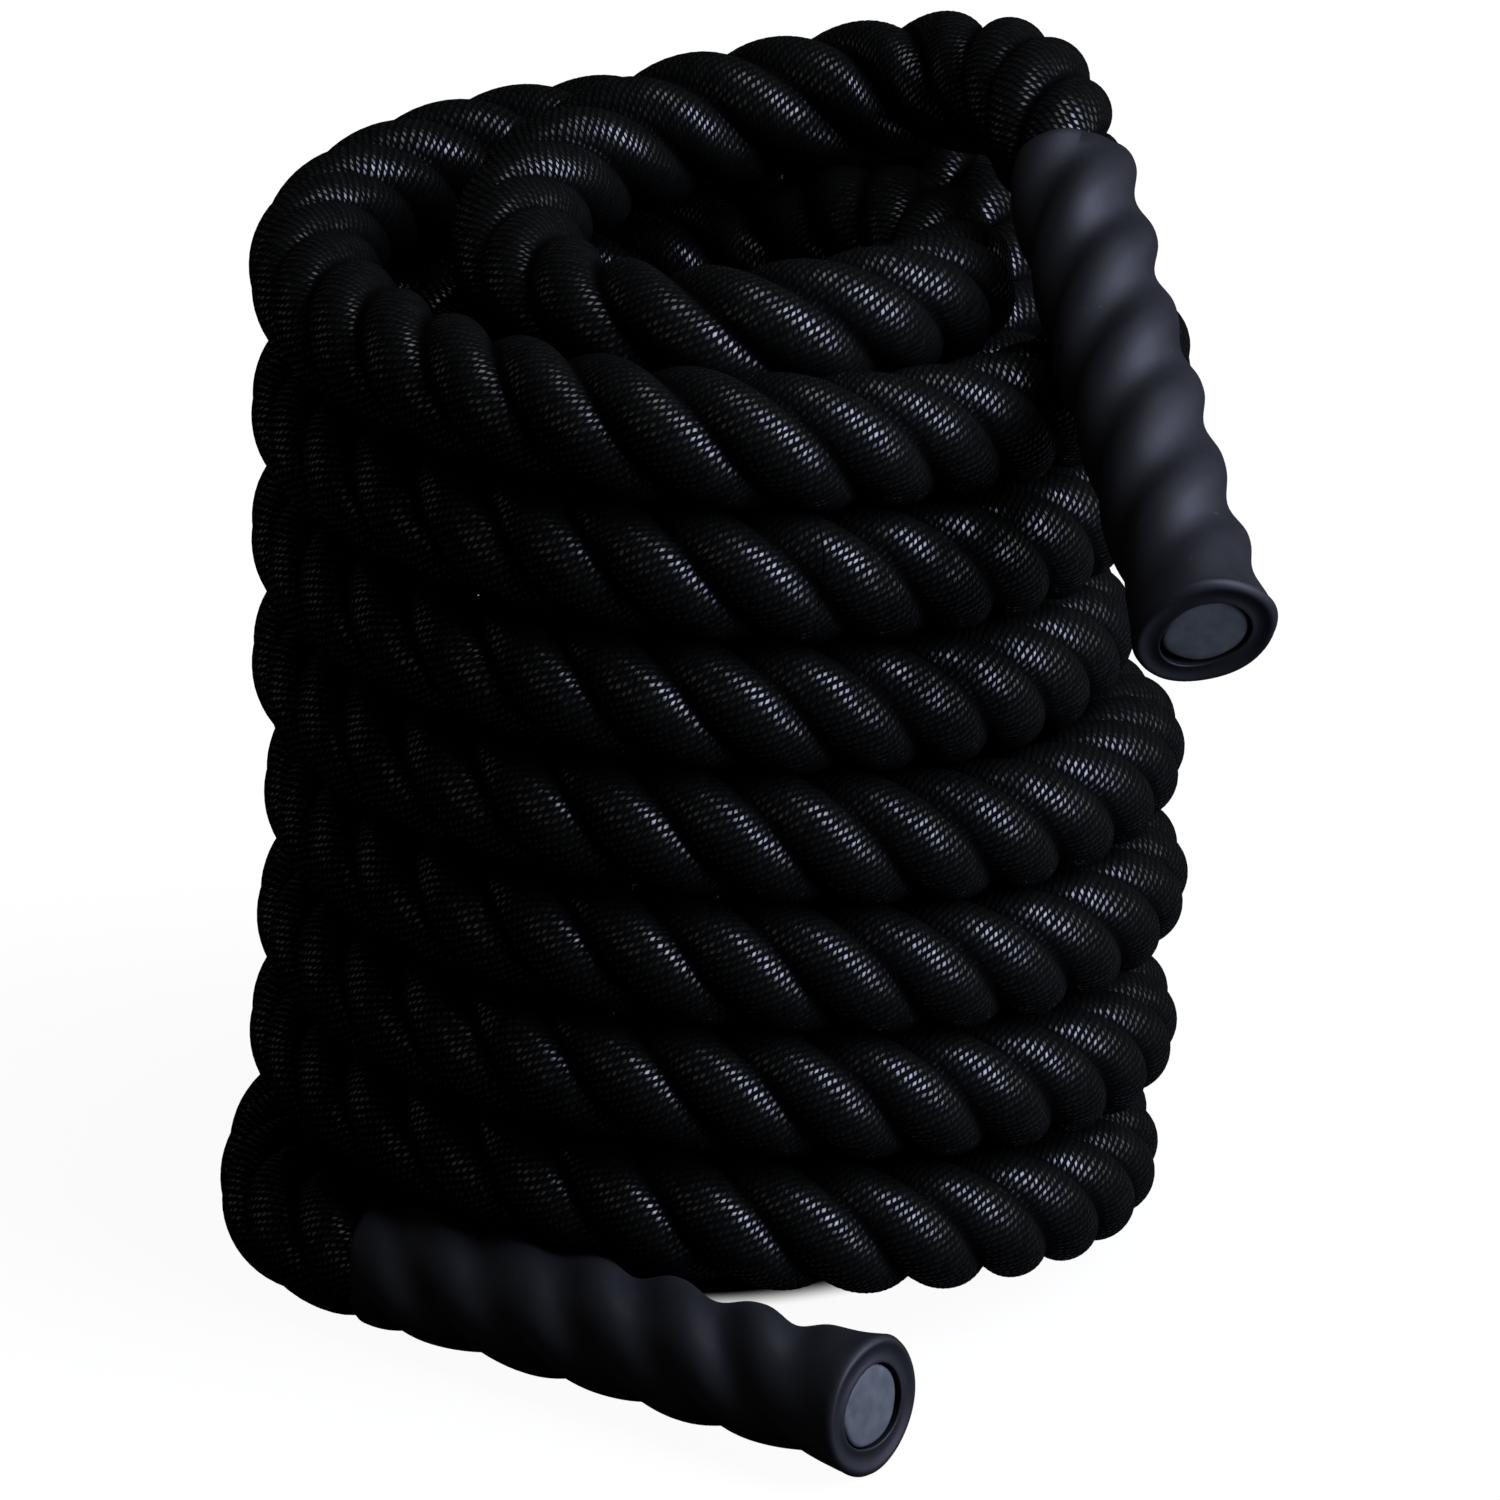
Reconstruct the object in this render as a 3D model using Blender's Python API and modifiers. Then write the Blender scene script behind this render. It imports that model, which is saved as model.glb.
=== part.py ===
"""Battle rope: a stacked coil of thick rope with a rubber sleeve grip on each end.

Metres, +Z up. The floor is Z = 0, the coil's axis is upright, and the front is -Y. The route starts in the
mouth of the upper grip, goes round the coil anticlockwise as seen from above, and ends in the mouth of the
lower grip, which lies on the floor. Angles are in degrees round the coil: 0 right, 90 back, 180 left,
270 front.
"""

import math

import bmesh
import bpy
import numpy as np
from mathutils import Matrix, Vector

# The rope and its coil
rope_diameter = 0.050
coil_radius = 0.154
clearance = 0.0003
points_per_turn = 24
coil_facets = 1
stretch_facets = 2
floor_flat_share = 0.1
coil_nominal_share = 3.08
near_neighbour_share = 3.0
coil_centre_x = -0.00466
coil_centre_y = 0.04425

# The lay: three strands, and what the sleeve squeezes them to
strands = 3
lay_length = 0.108
strand_squeeze_share = 0.356
strand_facets = 2
strand_step = 20.0

# The grips
grip_length = 0.235
sleeve_wall = 0.0021
lobe_height = 0.0010
flare_height = 0.0036
flare_length = 0.030
lip_thickness = 0.0050
lip_opening_radius = 0.0168
lip_opening_narrowing = 0.0014
end_round = 0.0040
end_round_shares = ((0.35, 0.25), (0.0, 1.0))
mouth_round = 0.0025
sleeve_points = 18
bore_sides = 32

# The sealed rope end and the whipping
seal_thickness = 0.0080
seal_face_depth = 0.0012
seal_edge_round = 0.0010
tape_thickness = 0.0006
tape_length = 0.030
turned_sides = 32

# Where the free stretches meet the coil and bend
straight_end = 0.050
hinge_set_back = 0.050
stretch_step = 0.030
end_land = 0.004
route_step = 0.0015

# Cuts run past the faces that they open by the overrun; points closer than weld_distance are one
overrun = 0.010
weld_distance = 0.00001

# The outline of a sleeve along its length, as shares: how far along, and how much of the flare
flare_shares = ((0.0, 0.0), (0.3, 0.22), (0.6, 0.62), (0.85, 0.94), (1.0, 1.0))

# Free stretch at the top, from the upper mouth to the coil: places across, back and up, in rope diameters
lead_shares = (
    (2.50, 0.20, 8.35),
    (2.36, 0.80, 8.42),
    (2.06, 1.45, 8.33),
    (1.52, 1.85, 8.21),
)
stub_shares = ((0.94, 1.89, 8.09), (-0.04, 1.69, 7.97))

# Inner turns, round from the free stretch to the first outer turn: angle, distance from the coil's radius
# and height over the bottom turn, both in rope diameters
inner_shares = (
    (110.0, -1.49, 7.88),
    (131.0, -1.56, 7.79),
    (155.0, -1.60, 7.70),
    (176.0, -1.59, 7.63),
    (210.0, -1.42, 7.56),
    (240.0, -1.13, 7.50),
    (270.0, -0.98, 7.50),
    (300.0, -1.06, 7.50),
    (330.0, -1.20, 7.38),
    (350.0, -1.30, 7.29),
    (370.0, -1.38, 7.31),
    (390.0, -1.43, 7.29),
    (410.0, -1.36, 7.11),
    (430.0, -1.20, 6.88),
    (450.0, -1.08, 6.72),
    (480.0, -1.07, 6.62),
    (510.0, -1.06, 6.62),
    (540.0, -1.04, 6.58),
    (585.0, -1.05, 6.45),
    (630.0, -1.08, 6.40),
    (660.0, -1.26, 6.38),
    (690.0, -1.34, 6.28),
    (710.0, -1.28, 6.23),
    (725.0, -1.10, 6.28),
    (738.0, -0.90, 6.40),
    (750.0, -0.63, 6.64),
    (770.0, -0.23, 7.03),
    (790.0, -0.08, 7.26),
    (810.0, -0.02, 7.325),
    (855.0, 0.0, 7.36),
)

# Outer turns, from the top one down: at each angle, the height over the bottom turn and the distance from
# the coil's radius, both in rope diameters
turn_angles = (180.0, 250.0, 270.0, 315.0, 360.0, 390.0, 450.0)
turn_height_shares = (
    (7.31, 7.11, 7.02, 6.73, 6.47, 6.22, 6.28),
    (6.28, 6.08, 6.00, 5.70, 5.47, 5.30, 5.26),
    (5.26, 5.06, 4.98, 4.675, 4.44, 4.27, 4.24),
    (4.24, 4.047, 3.966, 3.67, 3.47, 3.25, 3.20),
    (3.20, 3.03, 2.944, 2.64, 2.42, 2.23, 2.16),
    (2.17, 2.015, 1.925, 1.58, 1.22, 1.10, 1.12),
    (1.14, 1.00, 0.905, 0.48, 0.10, 0.05, 0.02),
)
turn_radius_shares = (
    (-0.04, -0.02, 0.0, -0.36, -0.10, 0.34, 0.06),
    (-0.04, -0.02, 0.0, -0.32, -0.36, -0.28, 0.0),
    (-0.02, 0.0, 0.0, -0.28, -0.40, -0.32, 0.0),
    (-0.01, 0.0, 0.0, 0.0, 0.0, 0.0, 0.0),
    (-0.09, -0.02, 0.0, 0.04, 0.04, 0.02, 0.0),
    (-0.02, 0.0, 0.0, 0.01, -0.03, -0.05, 0.0),
    (0.06, -0.15, -0.09, -0.06, -0.16, -0.15, 0.0),
)
coil_end_shares = ((504.0, 0.0, 0.0),)

# Free stretch at the bottom, from the coil to the lower mouth: places across, back and up
tail_shares = ((-3.33, 0.15, 0.0), (-3.36, -0.60, 0.01), (-3.20, -1.40, 0.055))

# The grips' axes, before each is pushed out to where its sleeve clears the coil
upper_mouth_share = (2.617, -0.28, 8.20)
upper_way_share = (0.915, -3.97, -2.25)
upper_push_share = (0.0, -0.94, 0.35)
lower_mouth_share = (-2.43, -2.00)
lower_way_share = (3.79, -2.94)
lower_push_share = (-0.61, -0.79, 0.0)

# Colours
rope_black = (0.012, 0.012, 0.014, 1.0)
sleeve_black = (0.020, 0.020, 0.024, 1.0)
seal_grey = (0.045, 0.048, 0.052, 1.0)
tape_black = (0.015, 0.015, 0.016, 1.0)
strand_black = (0.014, 0.014, 0.016, 1.0)
rope_roughness = 0.62
sleeve_roughness = 0.45
seal_roughness = 0.5

# Worked out from the sizes above
rope_radius = rope_diameter / 2
floor_height = rope_radius - floor_flat_share * rope_diameter
strand_diameter = rope_diameter * strand_squeeze_share
strand_radius = strand_diameter / 2


def laid_orbit(spacing):
    """The radius that the strands' centrelines wind at, so that neighbours lie spacing apart."""
    rise = np.linspace(0, lay_length / strands, 200)
    turn = 2 * math.pi * (1 / strands - rise / lay_length)
    near, far = 0.0, spacing * 2
    for _ in range(30):
        orbit = (near + far) / 2
        apart = np.sqrt(2 * orbit**2 * (1 - np.cos(turn)) + rise**2).min()
        near, far = (orbit, far) if apart < spacing else (near, orbit)
    return far


strand_orbit = laid_orbit(strand_diameter + clearance)
bundle_radius = strand_orbit + strand_radius
tape_inner_radius = bundle_radius + clearance
tape_outer_radius = tape_inner_radius + tape_thickness
bore_radius = tape_outer_radius + clearance
sleeve_radius = bore_radius + sleeve_wall
crest_radius = sleeve_radius + lobe_height
flare_radius = crest_radius + flare_height
stand_off = rope_radius + crest_radius + clearance
coil_axis = np.array((coil_centre_x, coil_centre_y, floor_height))


def place(share):
    """A place given in rope diameters from the foot of the coil's axis, with its radius as built."""
    across, back, up = share
    angle = math.atan2(back, across)
    nominal = math.hypot(across, back)
    radius = coil_radius + (nominal - coil_nominal_share) * rope_diameter
    return coil_axis + np.array((radius * math.cos(angle), radius * math.sin(angle), up * rope_diameter))


def unit(way):
    way = np.array(way, float)
    return way / np.linalg.norm(way)


def natural_spline(knots, values, at):
    """A smooth curve of one value over knots, with free ends, read at the given places."""
    knots, values = np.array(knots, float), np.array(values, float)
    gaps = np.diff(knots)
    matrix, right = np.eye(len(knots)), np.zeros(len(knots))
    for i in range(1, len(knots) - 1):
        matrix[i, i - 1:i + 2] = gaps[i - 1], 2 * (gaps[i - 1] + gaps[i]), gaps[i]
        right[i] = 6 * ((values[i + 1] - values[i]) / gaps[i] - (values[i] - values[i - 1]) / gaps[i - 1])
    bends = np.linalg.solve(matrix, right)
    i = np.clip(np.searchsorted(knots, at, side="right") - 1, 0, len(knots) - 2)
    after, before = knots[i + 1] - at, at - knots[i]
    curved = (bends[i] * after**3 + bends[i + 1] * before**3) / (6 * gaps[i])
    return (
        curved
        + (values[i] / gaps[i] - bends[i] * gaps[i] / 6) * after
        + (values[i + 1] / gaps[i] - bends[i + 1] * gaps[i] / 6) * before
    )


def clamped_spline(points, start_way, end_way, step):
    """A smooth curve through points that leaves and arrives in the given directions."""
    points = np.array(points, float)
    knots = np.concatenate([[0], np.cumsum(np.linalg.norm(np.diff(points, axis=0), axis=1))])
    gaps = np.diff(knots)
    matrix, right = np.eye(len(points)), np.zeros_like(points)
    right[0], right[-1] = start_way, end_way
    for i in range(1, len(points) - 1):
        matrix[i, i - 1:i + 2] = gaps[i], 2 * (gaps[i - 1] + gaps[i]), gaps[i - 1]
        right[i] = 3 * (
            gaps[i] * (points[i] - points[i - 1]) / gaps[i - 1]
            + gaps[i - 1] * (points[i + 1] - points[i]) / gaps[i]
        )
    ways = np.linalg.solve(matrix, right)
    at = np.linspace(0, knots[-1], max(2, round(knots[-1] / step) + 1))
    i = np.clip(np.searchsorted(knots, at, side="right") - 1, 0, len(points) - 2)
    gap = gaps[i][:, None]
    s = (at - knots[i])[:, None] / gap
    return (
        (2 * s**3 - 3 * s**2 + 1) * points[i]
        + (s**3 - 2 * s**2 + s) * gap * ways[i]
        + (3 * s**2 - 2 * s**3) * points[i + 1]
        + (s**3 - s**2) * gap * ways[i + 1]
    )


def coil_stations():
    """Every named place of the coil: angle, radius and height over the bottom turn."""
    stations = list(inner_shares)
    for turn, (heights, offsets) in enumerate(zip(turn_height_shares, turn_radius_shares)):
        for angle, height, offset in zip(turn_angles, heights, offsets):
            stations.append((angle + 360.0 * (turn + 2), offset, height))
    for angle, offset, height in coil_end_shares:
        stations.append((angle + 360.0 * (len(turn_height_shares) + 1), offset, height))
    return [(a, coil_radius + offset * rope_diameter, height * rope_diameter) for a, offset, height in stations]


def coil_route():
    """Points along the coil, with a straight run of one diameter at each end."""
    angles, radii, heights = zip(*coil_stations())
    step = 360.0 / points_per_turn
    count = round((angles[-1] - angles[0]) / step)
    at = np.linspace(angles[0], angles[-1], count + 1)
    radius = natural_spline(angles, radii, at)
    height = natural_spline(angles, heights, at)
    turned = np.radians(at)
    points = np.stack([radius * np.cos(turned), radius * np.sin(turned), height], axis=1) + coil_axis
    stub_start = place(stub_shares[0])
    start_way = unit(place(stub_shares[1]) - stub_start)
    end_way = unit(np.array((-math.sin(turned[-1]), math.cos(turned[-1]), 0)))
    points = [stub_start, stub_start + start_way * straight_end, *points, points[-1] + end_way * straight_end]
    return np.array(points), start_way, end_way


def least_gap(axis, points):
    return min(np.linalg.norm(points - p, axis=1).min() for p in axis)


def pushed_out(mouth, way, push, points):
    """The mouth moved along push until the grip's axis lies stand_off from the coil's centreline."""
    along = np.arange(0, grip_length - flare_length, route_step * 2)[:, None]
    near, far = -rope_diameter, rope_diameter
    for _ in range(24):
        middle = (near + far) / 2
        if least_gap(mouth + push * middle + way * along, points) < stand_off:
            near = middle
        else:
            far = middle
    return mouth + push * far


coil_points, coil_start_way, coil_end_way = coil_route()
coil_fine = clamped_spline(coil_points[1:-1], coil_start_way, coil_end_way, route_step)

upper_way = unit(upper_way_share)
upper_mouth = pushed_out(place(upper_mouth_share), upper_way, unit(upper_push_share), coil_fine)
upper_end = upper_mouth + upper_way * grip_length

lower_mouth_height = crest_radius + clearance
lower_end_height = flare_radius + clearance
lower_flat = unit((*lower_way_share, 0))
lower_run = math.sqrt(grip_length**2 - (lower_end_height - lower_mouth_height) ** 2)
lower_way = unit(lower_flat * lower_run + np.array((0, 0, lower_end_height - lower_mouth_height)))
lower_start = place((*lower_mouth_share, 0))
lower_start[2] = lower_mouth_height
lower_mouth = pushed_out(lower_start, lower_way, unit(lower_push_share), coil_fine)

lead_route = clamped_spline(
    [upper_mouth, *(place(p) for p in lead_shares), coil_points[0]], -upper_way, coil_start_way, route_step
)
tail_route = clamped_spline(
    [coil_points[-1], *(place(p) for p in tail_shares), lower_mouth], coil_end_way, lower_way, route_step
)


def length_of(points):
    return float(np.linalg.norm(np.diff(points, axis=0), axis=1).sum())


def behind_mouth(route):
    """The centreline's place one set-back behind the mouth that the route starts in."""
    along = np.concatenate([[0], np.cumsum(np.linalg.norm(np.diff(route, axis=0), axis=1))])
    return route[int(np.argmin(np.abs(along - hinge_set_back)))]


# The upper grip lifts about a level axis across it, the lower one swings out about an upright axis
upper_pivot = behind_mouth(lead_route)
upper_axis = unit((upper_way[1], -upper_way[0], 0))
lower_pivot = behind_mouth(tail_route[::-1])
lower_axis = np.array((0, 0, -1.0))


def self_gap(points):
    """The least gap of the coil's tube to itself, measured on its points, with near neighbours left out."""
    along = np.concatenate([[0], np.cumsum(np.linalg.norm(np.diff(points, axis=0), axis=1))])
    least = np.inf
    for i in range(0, len(points), 2):
        apart = np.linalg.norm(points - points[i], axis=1)
        apart[np.abs(along - along[i]) < near_neighbour_share * rope_diameter] = np.inf
        least = min(least, apart.min())
    return least - rope_diameter


# Blender helpers

for item in list(bpy.data.objects):
    bpy.data.objects.remove(item, do_unlink=True)

parts = bpy.data.collections.new("battle_rope")
cutters = bpy.data.collections.new("cutters")
bpy.context.scene.collection.children.link(parts)
bpy.context.scene.collection.children.link(cutters)


def material(name, colour, roughness):
    made = bpy.data.materials.new(name)
    made.use_nodes = True
    surface = made.node_tree.nodes["Principled BSDF"]
    surface.inputs["Base Color"].default_value = colour
    surface.inputs["Roughness"].default_value = roughness
    surface.inputs["Metallic"].default_value = 0.0
    return made


rope_material = material("rope", rope_black, rope_roughness)
strand_material = material("strand", strand_black, rope_roughness)
sleeve_material = material("sleeve", sleeve_black, sleeve_roughness)
seal_material = material("seal", seal_grey, seal_roughness)
tape_material = material("tape", tape_black, sleeve_roughness)


def add(name, mesh, matrix, surface, hinge=None):
    made = bpy.data.objects.new(name, mesh)
    made.data.materials.append(surface)
    parts.objects.link(made)
    if hinge is not None:
        made.parent = hinge
        made.matrix_parent_inverse = hinge.matrix_world.inverted()
    made.matrix_world = matrix
    return made


def hinge_empty(name, pivot, axis):
    """An empty on a joint's axis, with its Z along the axis, that carries the pieces that move."""
    made = bpy.data.objects.new(name, None)
    turn = Vector((0, 0, 1)).rotation_difference(Vector(axis))
    made.matrix_world = Matrix.Translation(Vector(pivot)) @ turn.to_matrix().to_4x4()
    made.empty_display_size = hinge_set_back
    parts.objects.link(made)
    bpy.context.view_layer.update()
    return made


def swept(name, points, radius, facets, radii=None, tilts=None, profile=None):
    """A tube, or a swept profile, along points, as a mesh with its caps welded on."""
    curve = bpy.data.curves.new(name, "CURVE")
    curve.dimensions = "3D"
    curve.twist_mode = "Z_UP"
    curve.use_fill_caps = True
    if profile is None:
        curve.bevel_depth = radius
        curve.bevel_resolution = facets
    else:
        curve.bevel_mode = "OBJECT"
        curve.bevel_object = profile
    spline = curve.splines.new("POLY")
    spline.points.add(len(points) - 1)
    for i, point in enumerate(points):
        spline.points[i].co = (*point, 1)
        if radii is not None:
            spline.points[i].radius = radii[i]
        if tilts is not None:
            spline.points[i].tilt = tilts[i]
    holder = bpy.data.objects.new(name, curve)
    parts.objects.link(holder)
    bpy.context.view_layer.update()
    mesh = bpy.data.meshes.new_from_object(holder.evaluated_get(bpy.context.evaluated_depsgraph_get()))
    matrix = holder.matrix_world.copy()
    bpy.data.objects.remove(holder)
    work = bmesh.new()
    work.from_mesh(mesh)
    bmesh.ops.remove_doubles(work, verts=work.verts, dist=weld_distance)
    if profile is not None:
        sides = [face for face in work.faces if len(face.verts) == 4]
        bmesh.ops.triangulate(work, faces=sides, quad_method="SHORT_EDGE")
    bmesh.ops.recalc_face_normals(work, faces=work.faces)
    work.to_mesh(mesh)
    work.free()
    mesh.materials.clear()
    return mesh, matrix


def cutter(name, mesh, matrix):
    made = bpy.data.objects.new(name, mesh)
    made.matrix_world = matrix
    made.hide_render = True
    made.display_type = "WIRE"
    cutters.objects.link(made)
    return made


def cut(target, tool):
    boolean = target.modifiers.new(tool.name, "BOOLEAN")
    boolean.operation = "DIFFERENCE"
    boolean.solver = "EXACT"
    boolean.object = tool


def frame_at(origin, way):
    """A frame with its Z along way and its X level."""
    z = Vector(way).normalized()
    x = Vector((0, 0, 1)).cross(z).normalized()
    y = z.cross(x)
    return Matrix.Translation(Vector(origin)) @ Matrix((x, y, z)).transposed().to_4x4()


def turned(name, outline):
    """A turned piece: an outline of radius and height, run round Z with a Screw modifier."""
    mesh = bpy.data.meshes.new(name)
    points = [(radius, 0, height) for radius, height in outline]
    mesh.from_pydata(points, [(i, i + 1) for i in range(len(points) - 1)], [])
    holder = bpy.data.objects.new(name, mesh)
    parts.objects.link(holder)
    screw = holder.modifiers.new("turn", "SCREW")
    screw.steps = turned_sides
    screw.render_steps = turned_sides
    screw.use_merge_vertices = True
    screw.merge_threshold = weld_distance
    bpy.context.view_layer.update()
    solid = bpy.data.meshes.new_from_object(holder.evaluated_get(bpy.context.evaluated_depsgraph_get()))
    bpy.data.objects.remove(holder)
    return solid


# The floor cutter trims the tubes that lie on the floor to a flat foot

floor_mesh = bpy.data.meshes.new("floor_cutter")
floor_size = 4 * (coil_radius + rope_diameter + grip_length)
floor_work = bmesh.new()
bmesh.ops.create_cube(floor_work, size=floor_size)
floor_work.to_mesh(floor_mesh)
floor_work.free()
floor_cutter = cutter("floor_cutter", floor_mesh, Matrix.Translation((0, 0, -floor_size / 2)))

# The rope: coil, upper free stretch and lower free stretch

coil_mesh, coil_matrix = swept("rope_coil", coil_points, rope_radius, coil_facets)
rope_coil = add("rope_coil", coil_mesh, coil_matrix, rope_material)
cut(rope_coil, floor_cutter)


def stretch(name, route, start_way, end_way):
    """A free stretch of rope, set back at both ends by the gap that touching pieces keep."""
    count = max(2, round(length_of(route) / stretch_step))
    inner = route[np.linspace(0, len(route) - 1, count + 1).round().astype(int)][1:-1]
    start = route[0] + start_way * clearance
    end = route[-1] - end_way * clearance
    picked = [start, start + start_way * end_land, *inner, end - end_way * end_land, end]
    mesh, matrix = swept(name, picked, rope_radius, stretch_facets)
    return add(name, mesh, matrix, rope_material)


upper_lead = stretch("rope_upper_lead", lead_route, -upper_way, coil_start_way)
lower_tail = stretch("rope_lower_tail", tail_route, coil_end_way, lower_way)
cut(lower_tail, floor_cutter)


# A grip: sleeve, strands, whipping and sealed end, built along +Z from the mouth

def sleeve_profile(name):
    """The sleeve's outline across: a circle of unit radius with one lobe for each strand."""
    curve = bpy.data.curves.new(name, "CURVE")
    curve.dimensions = "2D"
    spline = curve.splines.new("POLY")
    spline.points.add(sleeve_points - 1)
    for i in range(sleeve_points):
        angle = 2 * math.pi * i / sleeve_points
        radius = sleeve_radius + lobe_height * math.cos(strands * angle)
        spline.points[i].co = (radius * math.cos(angle), radius * math.sin(angle), 0, 1)
    spline.use_cyclic_u = True
    made = bpy.data.objects.new(name, curve)
    made.hide_render = True
    cutters.objects.link(made)
    return made


def sleeve_stations():
    """How far along each ring of the sleeve is, and its size as a share of the body's."""
    flare_scale = flare_radius / crest_radius
    stations = [(0.0, 1 - mouth_round / sleeve_radius), (mouth_round, 1.0)]
    step = lay_length * strand_step / 360
    body_end = grip_length - flare_length
    count = round((body_end - mouth_round) / step)
    for i in range(1, count + 1):
        stations.append((mouth_round + (body_end - mouth_round) * i / count, 1.0))
    for along, rise in flare_shares[1:]:
        stations.append((body_end + (flare_length - end_round) * along, 1 + (flare_scale - 1) * rise))
    for before, inward in end_round_shares:
        stations.append((grip_length - end_round * before, flare_scale - end_round * inward / crest_radius))
    return stations


def grip(label, mouth, way, hinge):
    matrix = frame_at(mouth, way)
    stations = sleeve_stations()
    profile = sleeve_profile(label + "_profile")
    points = [(0, 0, along) for along, _ in stations]
    tilts = [2 * math.pi * along / lay_length for along, _ in stations]
    mesh, _ = swept(label + "_grip", points, 0, 0, [size for _, size in stations], tilts, profile)
    sleeve = add(label + "_grip", mesh, matrix, sleeve_material, hinge)
    bore_end = grip_length - lip_thickness
    bore = bpy.data.meshes.new(label + "_bore")
    work = bmesh.new()
    bmesh.ops.create_cone(
        work, cap_ends=True, segments=bore_sides, radius1=bore_radius, radius2=bore_radius,
        depth=bore_end + overrun,
        matrix=Matrix.Translation((0, 0, (bore_end - overrun) / 2)),
    )
    work.to_mesh(bore)
    work.free()
    cut(sleeve, cutter(label + "_bore", bore, matrix))
    opening = bpy.data.meshes.new(label + "_opening")
    work = bmesh.new()
    bmesh.ops.create_cone(
        work, cap_ends=True, segments=bore_sides,
        radius1=lip_opening_radius, radius2=lip_opening_radius, depth=2 * (lip_thickness + overrun),
        matrix=Matrix.Translation((0, 0, grip_length)) @ Matrix.Diagonal(
            (1, 1 - lip_opening_narrowing / lip_opening_radius, 1, 1)),
    )
    work.to_mesh(opening)
    work.free()
    cut(sleeve, cutter(label + "_opening", opening, matrix))

    seal_top = bore_end - clearance
    seal_bottom = seal_top - seal_thickness
    face = grip_length - seal_face_depth
    boss = lip_opening_radius - lip_opening_narrowing - clearance
    seal_mesh = turned(label + "_rope_seal", [
        (0, face),
        (boss - seal_edge_round, face),
        (boss, face - seal_edge_round),
        (boss, seal_top),
        (bundle_radius, seal_top),
        (bundle_radius, seal_bottom),
        (0, seal_bottom),
    ])
    add(label + "_rope_seal", seal_mesh, matrix, seal_material, hinge)

    strand_end = seal_bottom - clearance
    count = math.ceil(strand_end / lay_length * 360 / strand_step)
    for number in range(strands):
        route = []
        low, high = clearance + end_land, strand_end - end_land
        for i in range(count + 1):
            along = low + (high - low) * i / count
            angle = 2 * math.pi * (along / lay_length + number / strands)
            route.append((strand_orbit * math.cos(angle), strand_orbit * math.sin(angle), along))
        route = [(*route[0][:2], clearance), *route, (*route[-1][:2], strand_end)]
        name = f"{label}_strand_{number + 1}"
        mesh, _ = swept(name, route, strand_radius, strand_facets)
        add(name, mesh, matrix, strand_material, hinge)

    tape_top = strand_end
    tape_bottom = tape_top - tape_length
    tape_mesh = turned(label + "_whipping", [
        (tape_outer_radius, tape_top),
        (tape_outer_radius, tape_bottom),
        (tape_inner_radius, tape_bottom),
        (tape_inner_radius, tape_top),
        (tape_outer_radius, tape_top),
    ])
    add(label + "_whipping", tape_mesh, matrix, tape_material, hinge)


upper_hinge = hinge_empty("upper_grip_hinge", upper_pivot, upper_axis)
lower_hinge = hinge_empty("lower_grip_hinge", lower_pivot, lower_axis)
grip("upper", upper_mouth, upper_way, upper_hinge)
grip("lower", lower_mouth, lower_way, lower_hinge)


def rounded(values):
    return [round(float(v), 5) for v in values]


print("least gap of the coil to itself, mm:", round(self_gap(coil_fine) * 1000, 2))
print("rope length outside the grips, m:", round(length_of(lead_route) + length_of(coil_fine)
      + 2 * straight_end + length_of(tail_route), 3))
print("lengths of lead, coil, tail:", rounded((length_of(lead_route), length_of(coil_points), length_of(tail_route))))
print("upper hinge at", rounded(upper_pivot), "axis", rounded(upper_axis))
print("lower hinge at", rounded(lower_pivot), "axis", rounded(lower_axis))
print("upper mouth", rounded(upper_mouth), "end", rounded(upper_end), "lower mouth", rounded(lower_mouth),
      "end", rounded(lower_mouth + lower_way * grip_length))
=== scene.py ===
"""Battle rope: a stacked coil of thick three-strand rope with a shrunk rubber grip on each end.

Metres, +Z up, in the frame of the CAD model. The route starts in the mouth of the upper grip, goes round
the coil anticlockwise as seen from above, and ends in the mouth of the lower grip. Angles are in degrees
round the coil: 0 right, 90 back, 180 left, 270 front.
"""

import math

import bmesh
import bpy
import numpy as np
from bpy.props import FloatProperty, FloatVectorProperty, IntProperty, PointerProperty
from mathutils import Matrix, Vector


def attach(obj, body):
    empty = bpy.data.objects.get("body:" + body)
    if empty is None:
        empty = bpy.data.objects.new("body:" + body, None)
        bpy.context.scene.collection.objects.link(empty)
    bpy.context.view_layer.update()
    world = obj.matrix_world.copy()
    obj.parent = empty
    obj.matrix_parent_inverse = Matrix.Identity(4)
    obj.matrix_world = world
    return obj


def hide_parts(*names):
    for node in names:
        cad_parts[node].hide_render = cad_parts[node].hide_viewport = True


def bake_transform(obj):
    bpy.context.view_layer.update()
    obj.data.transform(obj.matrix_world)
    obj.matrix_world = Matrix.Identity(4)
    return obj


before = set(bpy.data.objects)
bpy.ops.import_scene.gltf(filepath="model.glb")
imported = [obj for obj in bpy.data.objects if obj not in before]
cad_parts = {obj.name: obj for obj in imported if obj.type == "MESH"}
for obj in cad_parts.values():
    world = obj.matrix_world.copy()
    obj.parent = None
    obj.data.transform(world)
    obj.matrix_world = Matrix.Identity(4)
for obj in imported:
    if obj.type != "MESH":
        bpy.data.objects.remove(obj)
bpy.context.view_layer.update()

bl_info = {
    "name": "Battle rope",
    "version": (1, 0, 0),
    "blender": (4, 5, 0),
    "location": "3D View > Sidebar > Battle Rope",
    "description": "Builds a stacked battle rope with its two grips and a plain studio",
    "category": "Add Mesh",
}

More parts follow.
